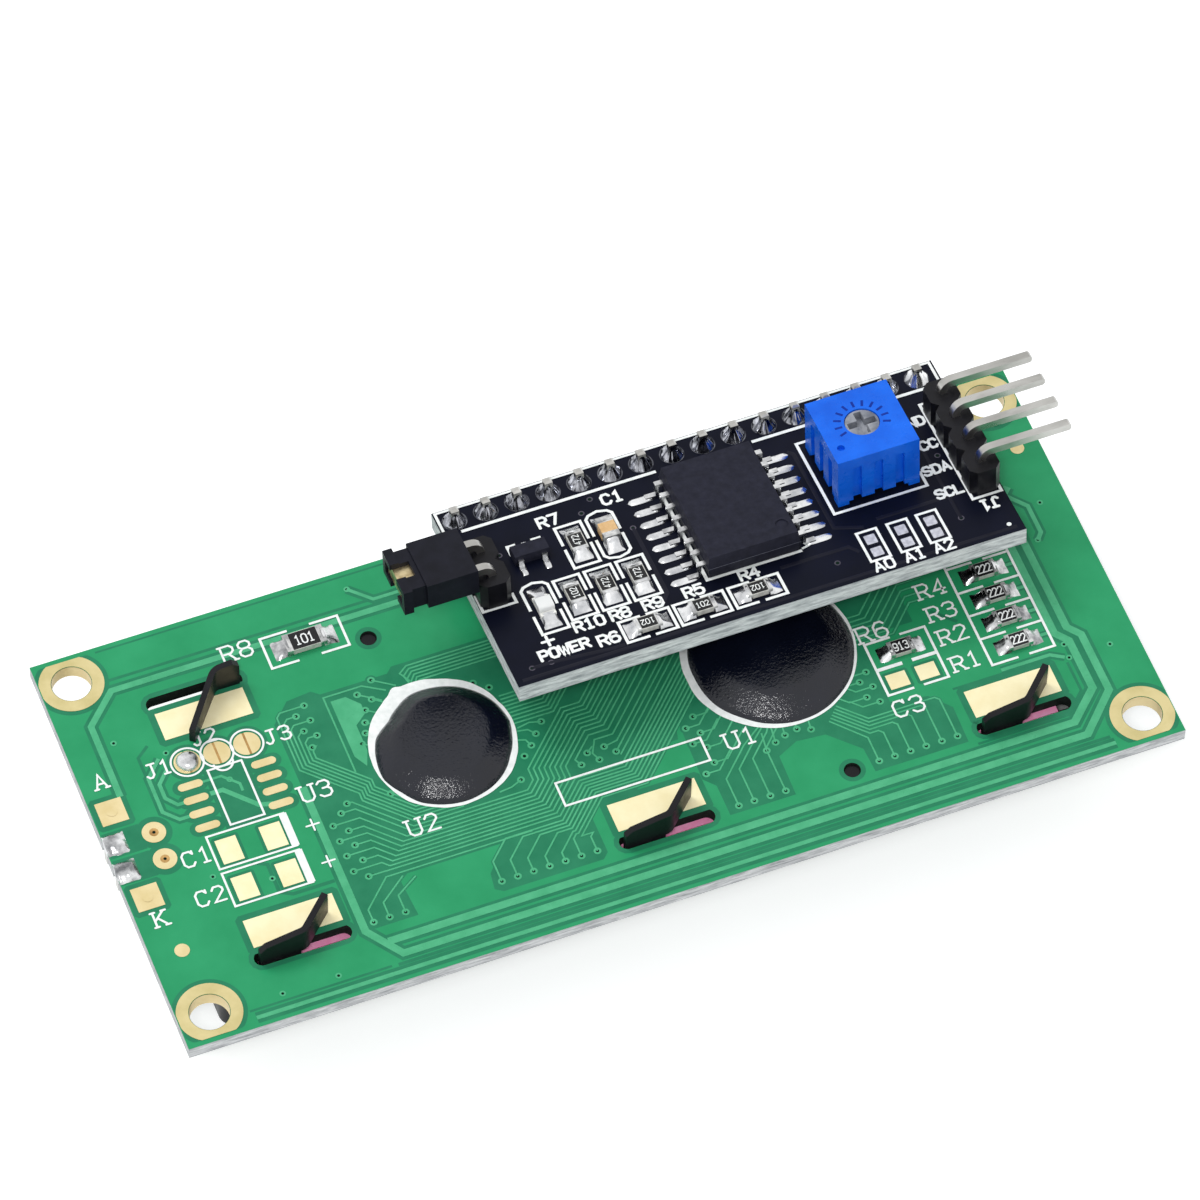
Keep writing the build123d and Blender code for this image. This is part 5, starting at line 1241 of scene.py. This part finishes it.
ACROSS, UP = (1, 0, 0), (0, 0, 1)
BLACK = ((10, 10, 13), (20, 20, 24))
BLACKER = ((9, 9, 12), (19, 19, 23))
CERAMIC = ((204, 164, 112), (222, 186, 136))
for i, place in enumerate(RESISTORS):
    node = f"display_resistor_r{i + 1}"
    glaze(node, node, on_display(*place), ACROSS, UP, 0.64, *BLACK, 0.6)
node = "display_resistor_r8"
glaze(node, node, on_display(*LARGE_RESISTOR), ACROSS, UP, 1.1, *BLACK, 0.76)
for number, u, v, turn, *_ in A_RESISTORS:
    node = f"adapter_resistor_r{number}"
    axis = ROW_TO_ROW if turn else ACROSS
    glaze(node, node, on_adapter(u, v), axis, UP_ADAPTER, 0.66, *BLACKER, 0.56)
glaze("adapter_capacitor_c1", "capacitor", on_adapter(*CAPACITOR), ROW_TO_ROW, UP_ADAPTER, 0.5, *CERAMIC)

# Studio
for name in ("Cube", "Light", "Camera"):
    if name in bpy.data.objects:
        bpy.data.objects.remove(bpy.data.objects[name])
scene = bpy.context.scene
scene.view_settings.view_transform = "Standard"

FLOOR_HALF = 3.0
floor_z = cad_low.z - 0.00002
floor_mesh = bpy.data.meshes.new("floor")
floor_mesh.from_pydata([(a * FLOOR_HALF, b * FLOOR_HALF, floor_z) for a, b in SQUARE], [], [[0, 1, 2, 3]])
floor = bpy.data.objects.new("floor", floor_mesh)
scene.collection.objects.link(floor)


def seen_directly(tree):
    """Socket that is 1 for camera, glossy and transmission rays."""
    rays = tree.nodes.new("ShaderNodeLightPath")
    found = rays.outputs["Is Camera Ray"]
    for kind in ("Is Glossy Ray", "Is Transmission Ray"):
        either = tree.nodes.new("ShaderNodeMath")
        either.operation = "MAXIMUM"
        tree.links.new(found, either.inputs[0])
        tree.links.new(rays.outputs[kind], either.inputs[1])
        found = either.outputs[0]
    return found


n = Nodes("floor_paper")
n.put("Base Color", n.ramp(n.noise(30, 3), [(0.3, (207, 208, 209)), (0.7, (210, 211, 212))]))
n.put("Roughness", 0.9)
n.put("Specular IOR Level", 0.0)
glow = n.new("ShaderNodeEmission")
n.link(n.math("MULTIPLY", seen_directly(n.tree), 0.6), glow.inputs["Strength"])
both = n.new("ShaderNodeAddShader")
n.link(n.bsdf.outputs[0], both.inputs[0])
n.link(glow.outputs[0], both.inputs[1])
n.link(both.outputs[0], n.tree.nodes["Material Output"].inputs["Surface"])
floor_mesh.materials.append(n.mat)

world = bpy.data.worlds.new("studio")
scene.world = world
world.use_nodes = True
tree = world.node_tree
tree.nodes.clear()
mix = tree.nodes.new("ShaderNodeMixShader")
tree.links.new(seen_directly(tree), mix.inputs[0])
for i, (colour, strength) in enumerate((((0.97, 0.985, 1.0, 1), 0.55), ((1, 1, 1, 1), 1.0))):
    sky = tree.nodes.new("ShaderNodeBackground")
    sky.inputs["Color"].default_value = colour
    sky.inputs["Strength"].default_value = strength
    tree.links.new(sky.outputs[0], mix.inputs[1 + i])
tree.links.new(mix.outputs[0], tree.nodes.new("ShaderNodeOutputWorld").inputs["Surface"])


def lamp(name, place, power, side, shape="SQUARE", side_y=None):
    data = bpy.data.lights.new(name, "AREA")
    data.energy, data.size, data.shape = power, side, shape
    if side_y:
        data.size_y = side_y
    obj = bpy.data.objects.new(name, data)
    scene.collection.objects.link(obj)
    obj.location = place
    obj.rotation_mode = "QUATERNION"
    obj.rotation_quaternion = (-Vector(place)).to_track_quat("-Z", "Y")
    return obj


high_lamp = lamp("key", (-0.22, 0.34, 0.62), 2.4, 0.32)
high_lamp.visible_glossy = False
lamp("front", (-0.173, -0.317, 0.624), 0.8, 0.22, "ELLIPSE", 0.09)
lamp("spark", (-0.187, -0.353, 0.598), 1.0, 0.06, "DISK")

# Camera at the photograph's angle
PHOTO_SIZE, ORIGIN_PIXEL, PIXELS_PER_MM = 1200, (606.961, 698.869), 13.2
CAMERA_DISTANCE = 626.27
SENSOR = 36
azimuth, elevation, roll = math.radians(-22.693), math.radians(55.963), math.radians(1.793)
back = Vector((math.sin(azimuth) * math.cos(elevation), -math.cos(azimuth) * math.cos(elevation),
               math.sin(elevation)))
level = Vector((math.cos(azimuth), math.sin(azimuth), 0))
upright = back.cross(level)
right = level * math.cos(roll) + upright * math.sin(roll)
up = upright * math.cos(roll) - level * math.sin(roll)
offset_x = (ORIGIN_PIXEL[0] - PHOTO_SIZE / 2) / PIXELS_PER_MM
offset_y = (PHOTO_SIZE / 2 - ORIGIN_PIXEL[1]) / PIXELS_PER_MM
camera_data = bpy.data.cameras.new("camera")
camera_data.lens = PIXELS_PER_MM * CAMERA_DISTANCE / PHOTO_SIZE * SENSOR
camera_data.sensor_width = SENSOR
camera_data.clip_start = 0.02
camera_data.clip_end = 20
camera = bpy.data.objects.new("camera", camera_data)
scene.collection.objects.link(camera)
place = (back * CAMERA_DISTANCE - right * offset_x - up * offset_y) * MM
camera.matrix_world = Matrix.Translation(place) @ Matrix((right, up, back)).transposed().to_4x4()
scene.camera = camera
